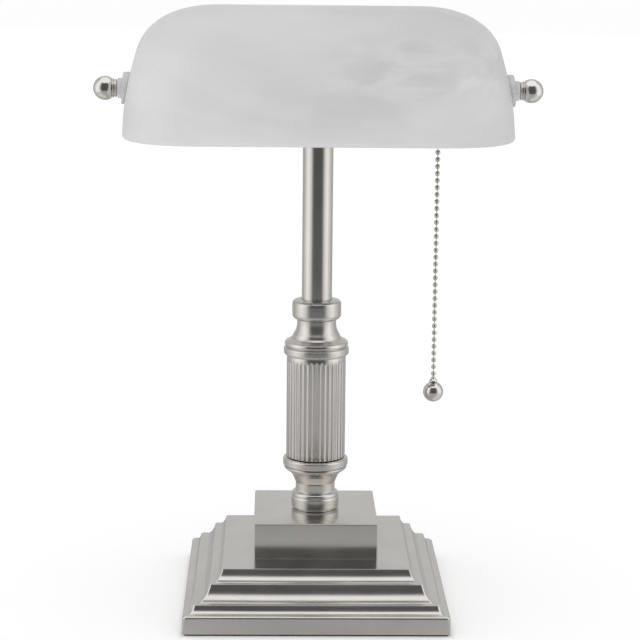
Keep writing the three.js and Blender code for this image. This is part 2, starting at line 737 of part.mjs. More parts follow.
function addSocket() {
  const place = (geometry) => alongX(geometry, 1, SOCKET_Z);
  const plateFar = SOCKET_PLATE_X + SOCKET_PLATE_THICKNESS;
  const footLow = BRACKET_TOP + GAP;

  const plate = block([SOCKET_PLATE_X, -9, footLow], [plateFar, 9, SOCKET_Z + 9]);
  const foot = block([SOCKET_PLATE_X, -9, footLow], [102, 9, footLow + SOCKET_PLATE_THICKNESS]);
  const nippleHole = place(disc(NIPPLE_R + GAP, SOCKET_PLATE_X - 1, plateFar + 1));
  const screwHole = disc(PLATE_SCREW_HOLE_R, footLow - 1, footLow + 3, COARSE).translate(PLATE_SCREW_X, 0, 0);
  add("socket_bracket", cut(join(plate, foot), nippleHole, screwHole), STEEL);

  const headLow = footLow + SOCKET_PLATE_THICKNESS + GAP;
  const tipLow = BRACKET_BOTTOM - 1.5;
  const screw = spun(
    [[0, tipLow], [2, tipLow], [2, headLow], [4, headLow], [3.4, headLow + 2], [0, headLow + 2.4]],
    COARSE,
  );
  add("socket_bracket_screw", screw.translate(PLATE_SCREW_X, 0, 0), ZINC);

  add("socket_nipple", place(plainRing(NIPPLE_R, 3, 84, plateFar + 5, COARSE)), ZINC);
  add("nipple_locknut", place(hexNut(14, NIPPLE_R + GAP, plateFar + GAP, plateFar + 3.6)), ZINC);

  const capWall = 0.8;
  const cap = turned([
    [NIPPLE_R + GAP, CAP_X - capWall],
    [8, CAP_X - capWall],
    [14.6, 85.2],
    [SOCKET_R + 0.5 - capWall, 81],
    [SOCKET_R + 0.5 - capWall, SHELL_FAR_X + GAP],
    [SOCKET_R + 0.5, SHELL_FAR_X + GAP],
    [SOCKET_R + 0.5, 81.2],
    [15.3, 85.8],
    [8.4, CAP_X],
    [NIPPLE_R + GAP, CAP_X],
  ]);
  add("socket_cap", place(cap), BRASS);

  const belowSocket = SOCKET_Z - SOCKET_R - 2;
  const chainHole = (radius) => disc(radius, belowSocket, SOCKET_Z, COARSE).translate(CHAIN_X, 0, 0);
  const shellInner = SOCKET_R - 0.6;
  const shell = turned([
    [shellInner, SHELL_MOUTH_X + 0.6],
    [SOCKET_R + 0.2, SHELL_MOUTH_X],
    [SOCKET_R + 0.6, SHELL_MOUTH_X + 0.8],
    [SOCKET_R, SHELL_MOUTH_X + 1.8],
    [SOCKET_R, SHELL_FAR_X],
    [shellInner, SHELL_FAR_X],
  ]);
  add("socket_shell", cut(place(shell), chainHole(3.5)), BRASS);

  const linerR = shellInner - GAP;
  const sleeve = place(plainRing(linerR, linerR - 0.6, SHELL_MOUTH_X + 2, SHELL_FAR_X - 1));
  add("socket_insulator", cut(sleeve, chainHole(4.8)), FIBRE);

  // The switch body is a moulded cylinder with a well for the pull lever and a round pocket for the rotor.
  const body = place(disc(SWITCH_BODY_R, SWITCH_BODY_NEAR_X, SHELL_FAR_X - 1));
  const well = disc(4.2, SOCKET_Z - SOCKET_R, LEVER_TOP_Z + 1.5, COARSE).translate(CHAIN_X, 0, 0);
  const pocket = place(disc(9, 60.4, 69.4));
  const vent = block([60.4, -5, SOCKET_Z + 5], [66, 5, SOCKET_Z + SWITCH_BODY_R + 1]);
  add("switch_body", cut(body, well, pocket, vent), PHENOLIC);

  add("screw_shell", place(plainRing(14.2, 13.5, 30, SWITCH_BODY_NEAR_X - GAP)), BRASS);
  add("centre_contact", block([51.3, -2.5, SOCKET_Z - 6], [52.1, 2.5, SOCKET_Z + 6]), BRASS);
}

function addLamp() {
  const place = (geometry) => alongX(geometry, 1, SOCKET_Z);
  const tip = 51;
  const neckX = 25;
  const thread = [];
  for (let x = 45.6; x > 30; x -= 3.6) {
    thread.push([LAMP_BASE_R - 0.8, x], [LAMP_BASE_R, x - 1.8]);
  }
  const contact = [[0, tip], [3, tip], [4, tip - 1.4], [9.5, tip - 3], [12, 46.4]];
  const mouth = [[LAMP_BASE_R, neckX + GAP], [0, neckX + GAP]];
  const base = spun([...contact, ...thread, ...mouth].reverse());
  add("bulb_base", place(base), BRASS);

  const domeX = LAMP_END_X + LAMP_R;
  const glass = spun([
    ...arc(0, domeX, LAMP_R, -90, 0, 6),
    [LAMP_R, 8],
    [LAMP_R - 0.8, 14],
    [13.2, 21],
    [12.6, neckX],
    [0, neckX],
  ]);
  add("bulb_glass", place(glass), LAMP_GLASS);
}

// ---------------------------------------------------------------------------------------------
// Pull-chain switch

const atChain = (geometry) => geometry.translate(CHAIN_X, 0, 0);

// A row of beads on a thin wire, from the top down, as one turned outline.
function beadOutline(top, count) {
  const outline = [];
  for (let i = count - 1; i >= 0; i--) {
    const centre = top - BEAD_R - i * BEAD_PITCH;
    outline.push([LINK_R, centre - BEAD_R], [BEAD_R, centre], [LINK_R, centre + BEAD_R]);
  }
  return outline;
}

function returnSpring(low, high) {
  const [turns, coilR, wireR, stepsPerTurn] = [5, 2.9, 0.4, 10];
  const steps = turns * stepsPerTurn;
  const path = [];
  for (let i = 0; i <= steps; i++) {
    const angle = (i * Math.PI * 2) / stepsPerTurn;
    const z = THREE.MathUtils.lerp(low + wireR, high - wireR, i / steps);
    path.push(new THREE.Vector3(coilR * Math.cos(angle), coilR * Math.sin(angle), z));
  }
  const wire = new THREE.Shape().absarc(0, 0, wireR, 0, Math.PI * 2, false);
  return new THREE.ExtrudeGeometry(wire, {
    extrudePath: new THREE.CatmullRomCurve3(path),
    steps,
    curveSegments: 2,
    bevelEnabled: false,
  });
}

function addPullSwitch() {
  const bell = turned(
    [
      [BELL_BORE_R, BELL_TOP_Z],
      [BELL_BORE_R, BELL_MOUTH_Z + 2.4],
      [BELL_BORE_R + 1.2, BELL_MOUTH_Z],
      [BELL_BORE_R + 2, BELL_MOUTH_Z],
      [BELL_BORE_R + 0.8, BELL_MOUTH_Z + 2.6],
      [BELL_BORE_R + 0.8, BELL_TOP_Z - 0.7],
      [BELL_BORE_R + 1.6, BELL_TOP_Z - 0.7],
      [BELL_BORE_R + 1.6, BELL_TOP_Z],
    ],
    COARSE,
  );
  add("bell_mouth", atChain(bell), BRASS);

  // The lever's collar rests on the spring, and the first bead hangs from its stem inside the bell.
  const stemLow = 302.4;
  const lever = spun(
    [
      [0, stemLow - BEAD_R * 2],
      ...beadOutline(stemLow, 1).slice(1),
      [1.3, stemLow],
      [1.3, LEVER_TOP_Z - 1.2],
      [3.7, LEVER_TOP_Z - 1.2],
      [3.7, LEVER_TOP_Z],
      [0, LEVER_TOP_Z],
    ],
    COARSE,
  );
  add("pull_lever", atChain(lever), STEEL);
  const springLow = BELL_TOP_Z + GAP;
  add("return_spring", atChain(returnSpring(springLow, LEVER_TOP_Z - 1.2 - GAP)), STEEL);

  // Ratchet wheel with eight teeth, on the socket's axis.
  const teeth = new THREE.Shape();
  for (let i = 0; i < 8; i++) {
    const angle = (i * Math.PI) / 4;
    const next = angle + Math.PI / 4;
    teeth[i ? "lineTo" : "moveTo"](8 * Math.cos(angle), 8 * Math.sin(angle));
    teeth.lineTo(6.2 * Math.cos(next - 0.05), 6.2 * Math.sin(next - 0.05));
  }
  teeth.closePath();
  const wheel = new THREE.ExtrudeGeometry(teeth, { depth: 4, bevelEnabled: false }).translate(0, 0, 64);
  const hub = disc(4.5, 61, 65, COARSE);
  add("switch_rotor", alongX(join(wheel, hub), 1, SOCKET_Z), BLACK_PLASTIC);

  // The connector clips the socket's own short chain to the long one.
  const connectorLow = CHAIN_TOP_Z + GAP;
  const connector = spun(
    [
      [0, connectorLow],
      [1.2, connectorLow],
      [2.1, connectorLow + 0.7],
      [2.1, CONNECTOR_TOP_Z - 1.6],
      [0.9, CONNECTOR_TOP_Z],
      [0, CONNECTOR_TOP_Z],
    ],
    COARSE,
  );
  add("chain_connector", atChain(connector), POLISHED);

  const beads = beadOutline(CHAIN_TOP_Z, BEAD_COUNT);
  const chain = spun([[0, beads[0][1]], ...beads, [0, CHAIN_TOP_Z]], 6);
  add("pull_chain", atChain(chain), POLISHED);

  const chainLow = beads[0][1];
  const ballTop = CHAIN_BALL_Z + CHAIN_BALL_R;
  const bellLow = ballTop - 0.2;
  const endBell = spun(
    [
      [0, bellLow + GAP],
      [2.6, bellLow + GAP],
      [2.4, bellLow + 1.2],
      [1.3, chainLow - GAP],
      [0, chainLow - GAP],
    ],
    COARSE,
  );
  add("chain_bell", atChain(endBell), POLISHED);
  const ball = spun(arc(0, CHAIN_BALL_Z, CHAIN_BALL_R, -90, 90, 10), COARSE);
  add("chain_ball", atChain(ball), POLISHED);
}

// ---------------------------------------------------------------------------------------------

addBase();
addPlinth();
addColumn();
addRodAndPole();
add("shade_bracket", shadeBracket(), STEEL);
addPivots();
addShade();
addSocket();
addLamp();
addPullSwitch();

export default lamp;
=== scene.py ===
# Banker desk lamp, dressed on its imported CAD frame. Lengths of pieces are in millimetres.
# The materials, the studio and the camera use metres, and so does a name that ends in _M.

import math

import bmesh
import bpy
from mathutils import Matrix, Vector


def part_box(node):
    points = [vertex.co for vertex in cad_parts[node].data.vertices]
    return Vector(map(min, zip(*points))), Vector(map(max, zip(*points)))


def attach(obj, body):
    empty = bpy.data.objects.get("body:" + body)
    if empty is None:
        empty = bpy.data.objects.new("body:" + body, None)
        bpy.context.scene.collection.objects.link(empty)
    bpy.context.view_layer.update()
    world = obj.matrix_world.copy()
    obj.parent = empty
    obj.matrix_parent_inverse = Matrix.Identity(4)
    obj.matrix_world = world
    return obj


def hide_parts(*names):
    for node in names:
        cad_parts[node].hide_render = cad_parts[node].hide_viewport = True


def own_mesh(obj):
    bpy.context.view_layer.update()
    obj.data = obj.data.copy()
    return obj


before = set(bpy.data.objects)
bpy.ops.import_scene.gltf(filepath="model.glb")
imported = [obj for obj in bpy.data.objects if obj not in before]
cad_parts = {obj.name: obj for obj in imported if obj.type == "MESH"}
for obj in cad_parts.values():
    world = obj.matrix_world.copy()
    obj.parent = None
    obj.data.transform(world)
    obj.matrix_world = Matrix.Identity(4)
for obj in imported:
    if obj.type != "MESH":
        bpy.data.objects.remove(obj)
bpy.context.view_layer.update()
MM = 0.001

# ---------------------------------------------------------------------------------------------
# Places and sizes taken from the frame


def low(node):
    return [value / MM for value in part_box(node)[0]]


def high(node):
    return [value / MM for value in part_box(node)[1]]


def midpoint(node, axis):
    return (low(node)[axis] + high(node)[axis]) / 2


PIVOT_Z = midpoint("outer_grommet_right", 2)
CHAIN_X = midpoint("chain_ball", 0)
BORE = 5.1  # radius of the hole for the threaded rod in the turned pieces

# ---------------------------------------------------------------------------------------------
# Outlines: lists of (radius, height)


def raised(z, points):
    """Points whose heights are counted from z."""
    return [(r, z + height) for r, height in points]


def arc(r, z, radius, start, end, steps):
    """Points of a circle about (r, z), from one angle to another in degrees."""
    angles = [math.radians(start + (end - start) * i / steps) for i in range(steps + 1)]
    return [(r + radius * math.cos(a), z + radius * math.sin(a)) for a in angles]


def flowing(points, steps=6):
    """A Catmull-Rom curve through the points."""
    ends = [points[0], *points, points[-1]]
    made = []
    for i in range(len(points) - 1):
        a, b, c, d = (Vector(p) for p in ends[i : i + 4])
        for k in range(steps):
            t = k / steps
            p = b * 2 + (c - a) * t + (a * 2 - b * 5 + c * 4 - d) * t**2 + (b * 3 - a - c * 3 + d) * t**3
            made.append(tuple(p / 2))
    return [*made, tuple(points[-1])]


def filleted(points, radius, steps=3):
    """An open outline with its inner corners rounded, each by at most the given radius."""
    made = [tuple(points[0])]
    for before, corner, after in zip(points, points[1:], points[2:]):
        a, b, c = Vector(before), Vector(corner), Vector(after)
        reach = min(radius, (a - b).length * 0.45, (c - b).length * 0.45)
        start = b + (a - b).normalized() * reach
        end = b + (c - b).normalized() * reach
        for i in range(steps + 1):
            t = i / steps
            made.append(tuple(start * (1 - t) ** 2 + b * 2 * t * (1 - t) + end * t**2))
    return [*made, tuple(points[-1])]


# ---------------------------------------------------------------------------------------------
# Meshes


def piece(name, vertices, faces, uvs=None, sharp=32):
    """A smooth-shaded object from points in millimetres, its edges sharp beyond an angle in degrees."""
    mesh = bpy.data.meshes.new(name)
    mesh.from_pydata([Vector(v) * MM for v in vertices], [], faces)
    if uvs is not None:
        layer = mesh.uv_layers.new(name="UVMap")
        layer.data.foreach_set("uv", [value for face in uvs for uv in face for value in uv])
    mesh.validate()
    body = bmesh.new()
    body.from_mesh(mesh)
    bmesh.ops.recalc_face_normals(body, faces=body.faces)
    for edge in body.edges:
        edge.smooth = not (edge.is_manifold and edge.calc_face_angle(0) > math.radians(sharp))
    for face in body.faces:
        face.smooth = True
    body.to_mesh(mesh)
    body.free()
    made = bpy.data.objects.new(name, mesh)
    bpy.context.scene.collection.objects.link(made)
    return made


def loft(name, rings, closed=False, capped=False, sharp=32):
    """Skins rings of points with the same count.

    UVs run in metres: u round each ring, v from ring to ring."""
    count = len(rings[0])
    vertices = [p for ring in rings for p in ring]
    levels = len(rings) if closed else len(rings) - 1
    walk = [0.0]
    for ring, following in zip(rings, [*rings[1:], rings[0]]):
        walk.append(walk[-1] + (Vector(following[0]) - Vector(ring[0])).length * MM)
    widest = max(rings, key=lambda ring: sum(abs(p[0]) + abs(p[1]) for p in ring))
    around = [0.0]
    for i in range(count):
        around.append(around[-1] + (Vector(widest[(i + 1) % count]) - Vector(widest[i])).length * MM)
    faces = []
    uvs = []
    for level in range(levels):
        above = (level + 1) % len(rings)
        for i in range(count):
            j = (i + 1) % count
            faces.append((level * count + i, level * count + j, above * count + j, above * count + i))
            uvs.append(
                [
                    (around[i], walk[level]),
                    (around[i + 1], walk[level]),
                    (around[i + 1], walk[level + 1]),
                    (around[i], walk[level + 1]),
                ]
            )
    if capped:
        last = (len(rings) - 1) * count
        faces.append(tuple(reversed(range(count))))
        faces.append(tuple(last + i for i in range(count)))
        uvs.append([(p[0] * MM, p[1] * MM) for p in reversed(rings[0])])
        uvs.append([(p[0] * MM, p[1] * MM) for p in rings[-1]])
    return piece(name, vertices, faces, uvs, sharp)


def circle(radius, z, segments):
    turns = [2 * math.pi * i / segments for i in range(segments)]
    return [(radius * math.cos(a), radius * math.sin(a), z) for a in turns]


def turned(name, outline, segments=96, closed=True, sharp=32):
    """A shape turned about the Z axis: a ring if closed, or a solid whose outline ends near the axis."""
    rings = [circle(max(r, 0.01), z, segments) for r, z in outline]
    return loft(name, rings, closed=closed, capped=not closed, sharp=sharp)


def lay_along_x(made, side, z=PIVOT_Z):
    """Lays a shape turned about Z along +X (side 1) or -X (side -1), at a height."""
    turn = Matrix.Rotation(side * math.pi / 2, 4, "Y")
    made.data.transform(Matrix.Translation((0, 0, z * MM)) @ turn)
    return made


def shift(made, x=0.0, y=0.0, z=0.0):
    made.data.transform(Matrix.Translation(Vector((x, y, z)) * MM))
    return made


def square_ring(half, radius, z, steps=6, straight=4):
    """A rounded square with extra points along its sides."""
    ring = []
    inner = half - radius
    for corner in range(4):
        turn = Matrix.Rotation(corner * math.pi / 2, 2)
        for i in range(steps + 1):
            angle = math.pi / 2 * i / steps
            x, y = turn @ Vector((inner + radius * math.cos(angle), inner + radius * math.sin(angle)))
            ring.append((x, y, z))
        for i in range(1, straight):
            x, y = turn @ Vector((inner - 2 * inner * i / straight, half))
            ring.append((x, y, z))
    return ring


# ---------------------------------------------------------------------------------------------
# Node materials


def put(tree, kind, inputs=None, **settings):
    """Adds a node. An input is a value or another node's output."""
    made = tree.nodes.new(kind)
    for key, value in settings.items():
        setattr(made, key, value)
    for key, value in (inputs or {}).items():
        if isinstance(value, bpy.types.NodeSocket):
            tree.links.new(value, made.inputs[key])
        else:
            made.inputs[key].default_value = value
    return made


def start(name):
    material = bpy.data.materials.new(name)
    material.use_nodes = True
    material.node_tree.nodes.clear()
    return material, material.node_tree


def end(tree, shader):
    put(tree, "ShaderNodeOutputMaterial", {"Surface": shader.outputs[0]})


def ramp(tree, factor, stops):
    made = put(tree, "ShaderNodeValToRGB", {"Fac": factor})
    elements = made.color_ramp.elements
    while len(elements) < len(stops):
        elements.new(0.5)
    for element, (place, colour) in zip(elements, stops):
        element.position = place
        element.color = (*colour, 1)
    return made.outputs["Color"]


def calc(tree, operation, *values):
    return put(tree, "ShaderNodeMath", dict(enumerate(values)), operation=operation).outputs[0]


def remap(tree, value, first, last, lowest=0.0, highest=1.0, curve="LINEAR"):
    """Maps the range from first to last onto the range from lowest to highest."""
    inputs = {"Value": value, "From Min": first, "From Max": last, "To Min": lowest, "To Max": highest}
    return put(tree, "ShaderNodeMapRange", inputs, interpolation_type=curve).outputs["Result"]


def spread(tree, factor, lowest, highest):
    """Maps a noise's middle range to the given values."""
    return remap(tree, factor, 0.3, 0.7, lowest, highest)


def mix_colours(tree, share, first, second):
    return put(tree, "ShaderNodeMix", {0: share, 6: first, 7: second}, data_type="RGBA").outputs[2]


def mix_shaders(tree, share, first, second):
    return put(tree, "ShaderNodeMixShader", {0: share, 1: first.outputs[0], 2: second.outputs[0]})


def noise(tree, where, scale, detail=3.0, distortion=0.0, stretch=(1, 1, 1)):
    mapped = put(tree, "ShaderNodeMapping", {"Vector": where, "Scale": stretch})
    inputs = {"Vector": mapped.outputs["Vector"], "Scale": scale, "Detail": detail, "Distortion": distortion}
    return put(tree, "ShaderNodeTexNoise", inputs).outputs["Fac"]


def bumped(tree, height, strength, distance):
    inputs = {"Height": height, "Strength": strength, "Distance": distance}
    return put(tree, "ShaderNodeBump", inputs).outputs["Normal"]


def tinted(colour, factor):
    return tuple(channel * factor for channel in colour)


def brushed_metal(name, colour, roughness):
    """Plated metal with fine lines along U and broad, faint clouds."""
    material, tree = start(name)
    where = put(tree, "ShaderNodeTexCoord")
    fine = noise(tree, where.outputs["UV"], 1.0, 4.0, stretch=(45, 7000, 1))
    coarse = noise(tree, where.outputs["UV"], 1.0, 2.0, stretch=(12, 1500, 1))
    clouds = noise(tree, where.outputs["Object"], 35.0, 4.0)
    lines = calc(tree, "MULTIPLY", calc(tree, "ADD", fine, coarse), 0.5)
    streak = spread(tree, lines, roughness - 0.025, roughness + 0.035)
    rough = calc(tree, "ADD", streak, spread(tree, clouds, -0.025, 0.03))
    shades = [(0.3, tinted(colour, 0.94)), (0.7, tinted(colour, 1.04))]
    tangent = put(tree, "ShaderNodeTangent", direction_type="UV_MAP", uv_map="UVMap")
    shader = put(
        tree,
        "ShaderNodeBsdfPrincipled",
        {
            "Base Color": ramp(tree, clouds, shades),
            "Metallic": 1.0,
            "Roughness": rough,
            "Anisotropic": 0.35,
            "Anisotropic Rotation": 0.25,
            "Tangent": tangent.outputs[0],
            "Normal": bumped(tree, lines, 0.1, 0.00002),
        },
    )
    end(tree, shader)
    return material


def plain_metal(name, colour, roughness, scale=220.0, depth=0.00001, variation=0.05):
    """Sheet, cast or plated metal with a fine grain and uneven sheen."""
    material, tree = start(name)
    where = put(tree, "ShaderNodeTexCoord").outputs["Object"]
    grain = noise(tree, where, scale * 8, 3.0)
    clouds = noise(tree, where, scale / 4, 5.0, 0.4)
    rough = spread(tree, clouds, roughness - variation, roughness + variation)
    shades = [(0.3, tinted(colour, 0.9)), (0.7, tinted(colour, 1.05))]
    shader = put(
        tree,
        "ShaderNodeBsdfPrincipled",
        {
            "Base Color": ramp(tree, clouds, shades),
            "Metallic": 1.0,
            "Roughness": rough,
            "Normal": bumped(tree, grain, 0.3, depth),
        },
    )
    end(tree, shader)
    return material


def matte(name, dark, light, roughness, scale, depth, sheen=0.0, coat=0.0):
    """A dull material: moulded plastic, fibre, felt or rough casting."""
    material, tree = start(name)
    where = put(tree, "ShaderNodeTexCoord").outputs["Object"]
    grain = noise(tree, where, scale, 6.0, 0.3)
    patches = noise(tree, where, scale / 12, 3.0)
    shader = put(
        tree,
        "ShaderNodeBsdfPrincipled",
        {
            "Base Color": ramp(tree, patches, [(0.3, dark), (0.7, light)]),
            "Roughness": spread(tree, grain, roughness - 0.08, min(roughness + 0.08, 1.0)),
            "Sheen Weight": sheen,
            "Coat Weight": coat,
            "Normal": bumped(tree, grain, 0.6, depth),
        },
    )
    end(tree, shader)
    return material


def alabaster():
    """Frosted white glass with soft grey swirls, stronger to the right of the middle."""
    material, tree = start("alabaster_glass")
    where = put(tree, "ShaderNodeTexCoord").outputs["Object"]
    veil = noise(tree, where, 9.0, 3.0, 1.4, stretch=(0.55, 1.0, 1.6))
    wisps = noise(tree, where, 26.0, 5.0, 2.2, stretch=(0.5, 1.0, 1.5))
    # The swirls gather in a patch right of the middle and about half way up, front and back alike.
    patch = put(
        tree,
        "ShaderNodeMapping",
        {"Vector": where, "Location": (-0.63, 0, -14.2), "Scale": (12.0, 3.0, 42.0)},
    )
    swirl = put(tree, "ShaderNodeTexGradient", {"Vector": patch.outputs[0]}, gradient_type="SPHERICAL")
    folded = calc(tree, "MULTIPLY", calc(tree, "ADD", veil, wisps), 15.0)
    waves = calc(tree, "MULTIPLY", calc(tree, "SINE", folded), swirl.outputs["Fac"])
    bent = calc(tree, "MULTIPLY_ADD", waves, 0.2, veil)
    # The glass is also painted darker evenly from left to right: painted shade for light that falls from the
    # left.
    along = put(tree, "ShaderNodeSeparateXYZ", {"Vector": where}).outputs["X"]
    painted_side_shade = calc(tree, "MULTIPLY_ADD", along, 1.5, bent)
    shades = [(0.25, (0.71, 0.71, 0.71)), (0.5, (0.652, 0.652, 0.652)), (0.85, (0.55, 0.55, 0.55))]
    ripple = noise(tree, where, 60.0, 2.0)
    shader = put(
        tree,
        "ShaderNodeBsdfPrincipled",
        {
            "Base Color": ramp(tree, painted_side_shade, shades),
            "Roughness": spread(tree, wisps, 0.34, 0.46),
            "IOR": 1.5,
            "Subsurface Weight": 0.25,
            "Subsurface Radius": (0.006, 0.006, 0.006),
            "Subsurface Scale": 1.0,
            "Normal": bumped(tree, ripple, 0.12, 0.0003),
        },
    )
    end(tree, shader)
    return material


def clear_vinyl():
    material, tree = start("clear_vinyl")
    where = put(tree, "ShaderNodeTexCoord").outputs["Object"]
    haze = noise(tree, where, 500.0, 3.0)
    shader = put(
        tree,
        "ShaderNodeBsdfPrincipled",
        {
            "Base Color": ramp(tree, haze, [(0.3, (0.78, 0.785, 0.77)), (0.7, (0.87, 0.875, 0.86))]),
            "Roughness": spread(tree, haze, 0.14, 0.26),
            "IOR": 1.4,
            "Transmission Weight": 0.35,
            "Normal": bumped(tree, haze, 0.3, 0.00005),
        },
    )
    end(tree, shader)
    return material


def lamp_glass():
    """Inside-frosted bulb: a glossy outer face over a milky body."""
    material, tree = start("lamp_glass")
    where = put(tree, "ShaderNodeTexCoord").outputs["Object"]
    frost = noise(tree, where, 900.0, 4.0)
    shader = put(
        tree,
        "ShaderNodeBsdfPrincipled",
        {
            "Base Color": ramp(tree, frost, [(0.3, (0.84, 0.83, 0.8)), (0.7, (0.9, 0.89, 0.86))]),
            "Roughness": spread(tree, frost, 0.35, 0.5),
            "Coat Weight": 1.0,
            "Coat Roughness": 0.04,
            "Subsurface Weight": 0.3,
            "Subsurface Radius": (0.004, 0.004, 0.004),
            "Subsurface Scale": 1.0,
        },
    )
    end(tree, shader)
    return material


LOOKS = {
    "brushed_nickel": brushed_metal("brushed_nickel", (0.66, 0.635, 0.605), 0.2),
    "polished_nickel": plain_metal("polished_nickel", (0.72, 0.7, 0.67), 0.09, 200.0, 0.000004, 0.03),
    "alabaster_glass": alabaster(),
    "clear_vinyl": clear_vinyl(),
    "zinc_plated_steel": plain_metal("zinc_plated_steel", (0.6, 0.62, 0.64), 0.34, 260.0, 0.00002),
    "plain_steel": plain_metal("plain_steel", (0.5, 0.49, 0.47), 0.36, 180.0, 0.00002),
    "brass": plain_metal("brass", (0.68, 0.5, 0.24), 0.28, 180.0, 0.00001),
    "cast_iron": matte("cast_iron", (0.035, 0.034, 0.034), (0.07, 0.068, 0.066), 0.7, 700.0, 0.0002),
    "black_felt": matte(
        "black_felt", (0.012, 0.012, 0.013), (0.025, 0.025, 0.027), 0.9, 2500.0, 0.0003, sheen=0.4
    ),
    "black_plastic": matte(
        "black_plastic", (0.018, 0.018, 0.019), (0.03, 0.03, 0.032), 0.45, 1800.0, 0.00004
    ),
    "phenolic": matte("phenolic", (0.05, 0.03, 0.022), (0.085, 0.052, 0.038), 0.4, 900.0, 0.00003, coat=0.3),
    "fibre": matte("fibre", (0.4, 0.29, 0.16), (0.5, 0.38, 0.22), 0.82, 1600.0, 0.00006),
    "lamp_glass": lamp_glass(),
}


def dress(made, slot, body, *nodes):
    """Gives a new piece its material and its body, and hides the CAD nodes that it stands for."""
    made.data.materials.clear()
    made.data.materials.append(LOOKS[slot])
    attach(made, body)
    if nodes:
        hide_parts(*nodes)
    return made


# ---------------------------------------------------------------------------------------------
# Base and plinth


PLATE_HALF = 57.8
PLATE_CORNER, FOOT_CORNER = 1.2, 2.6  # radii of the base's upright corners, at the top and at the bottom
FOOT_TOP = 12.4
FOOT_ROUND = 1.8
EDGE = 0.35
STEP_HEADS = ((75.2, 17.2, 10), (65.3, 27.2, 18))  # half-width, height and number of levels of a cove
TOP_COVE_LEVELS = 16
CASTING_WALL = 2.2
PLINTH_WALL = 2.4
PLINTH_ROUND = 0.8
# The rod's hole in the base and the plinth: a square so rounded that it is nearly a circle.
ROD_HOLE = 5.8
ROD_HOLE_ROUND = 5.7
INLET_R = 4.0


def cove(foot_half, foot_z, head_half, head_z, steps):
    """A hollow moulding: level at its foot, leaning back a little from upright at its head."""
    reach = math.radians(74)
    width = (foot_half - head_half) / math.sin(reach)
    rise = (head_z - foot_z) / (1 - math.cos(reach))
    angles = [reach * i / steps for i in range(steps + 1)]
    return [(foot_half - width * math.sin(a), foot_z + rise * (1 - math.cos(a))) for a in angles]


def moulding():
    """The base in section: (half-width, height), from the bottom edge to the plate."""
    bottom = low("base_casting")[2]
    half = high("base_casting")[0]
    top = high("base_casting")[2]
    outline = [
        (half - EDGE, bottom),
        *arc(half - EDGE, bottom + EDGE, EDGE, -60, 0, 3),
        *arc(half - FOOT_ROUND, FOOT_TOP - FOOT_ROUND, FOOT_ROUND, 0, 90, 10),
    ]
    foot = (half - FOOT_ROUND - 0.4, FOOT_TOP)
    for head_half, head_z, steps in STEP_HEADS:
        nose_z = head_z + 0.05
        outline += cove(*foot, head_half, head_z, steps)
        outline += arc(head_half - EDGE, nose_z, EDGE, 20, 90, 4)
        foot = (head_half - 2 * EDGE, nose_z + EDGE)
    outline += cove(*foot, PLATE_HALF, top - EDGE, TOP_COVE_LEVELS)
    outline += arc(PLATE_HALF - 0.3, top - 0.3, 0.3, 20, 90, 4)
    return outline


def build_base():
    half = high("base_casting")[0]
    top = high("base_casting")[2]
    outline = moulding()

    def corner(width):
        share = (width - PLATE_HALF) / (half - PLATE_HALF)
        return PLATE_CORNER + (FOOT_CORNER - PLATE_CORNER) * share

    under_plate = top - CASTING_WALL
    inner = [
        (PLATE_HALF - CASTING_WALL, under_plate),
        (65.4, 18.6),
        (half - CASTING_WALL, 8.0),
        (half - CASTING_WALL, outline[0][1]),
    ]
    rings = [square_ring(width, corner(width), z) for width, z in outline]
    rings += [square_ring(ROD_HOLE, ROD_HOLE_ROUND, z) for z in (top, under_plate)]
    rings += [square_ring(width, 1.0, z) for width, z in inner]
    base = loft("base_moulding", rings, closed=True, sharp=28)
    cutter = turned("inlet_cutter", [(INLET_R, -8), (INLET_R, 8)], 48, closed=False)
    carve(base, lay_back(cutter, high("base_casting")[1]))
    dress(base, "brushed_nickel", "stand", "base_casting")


def build_bushing():
    near = low("cord_bushing")[1]
    length = high("cord_bushing")[1] - near
    outline = [
        (3.2, 0),
        (3.7, 0),
        (3.7, 4.3),
        (4.2, 4.3),
        (4.3, 4.8),
        (3.8, length - 0.2),
        (3.4, length),
        (3.2, 5),
    ]
    bush = lay_back(turned("inlet_bushing", filleted(outline, 0.25), 64), near)
    dress(bush, "black_plastic", "stand", "cord_bushing")


def build_plinth():
    reach = high("plinth_block")[0]
    top = high("plinth_block")[2]
    seat = low("plinth_block")[2] - 0.25
    under = top - PLINTH_WALL
    outline = [
        *arc(reach - EDGE, seat + EDGE, EDGE, -80, 0, 3),
        *arc(reach - PLINTH_ROUND, top - PLINTH_ROUND, PLINTH_ROUND, 0, 90, 6),
    ]
    rings = [square_ring(width, 0.9, z) for width, z in outline]
    rings += [square_ring(ROD_HOLE, ROD_HOLE_ROUND, z) for z in (top, under)]
    rings += [square_ring(reach - PLINTH_WALL, 0.6, z) for z in (under, seat)]
    dress(loft("plinth", rings, closed=True), "brushed_nickel", "stand", "plinth_block")


def lay_back(made, y):
    """Turns a Z shape to point along +Y from a depth, at the cord inlet's height."""
    made.data.transform(Matrix.Rotation(-math.pi / 2, 4, "X"))
    return shift(made, y=y, z=midpoint("cord_bushing", 2))


def carve(made, *tools):
    """Cuts the tools out of a mesh for good, and removes them."""
    for tool in tools:
        modifier = made.modifiers.new("cut", "BOOLEAN")
        modifier.operation = "DIFFERENCE"
        modifier.solver = "EXACT"
        modifier.object = tool
        bpy.context.view_layer.update()
        result = bpy.data.meshes.new_from_object(made.evaluated_get(bpy.context.evaluated_depsgraph_get()))
        made.modifiers.clear()
        made.data = result
        bpy.data.objects.remove(tool)


# ---------------------------------------------------------------------------------------------
# Column

SEAM = 0.12  # how far each turned piece closes the gap to its neighbour
RING_ROUND = 1.2


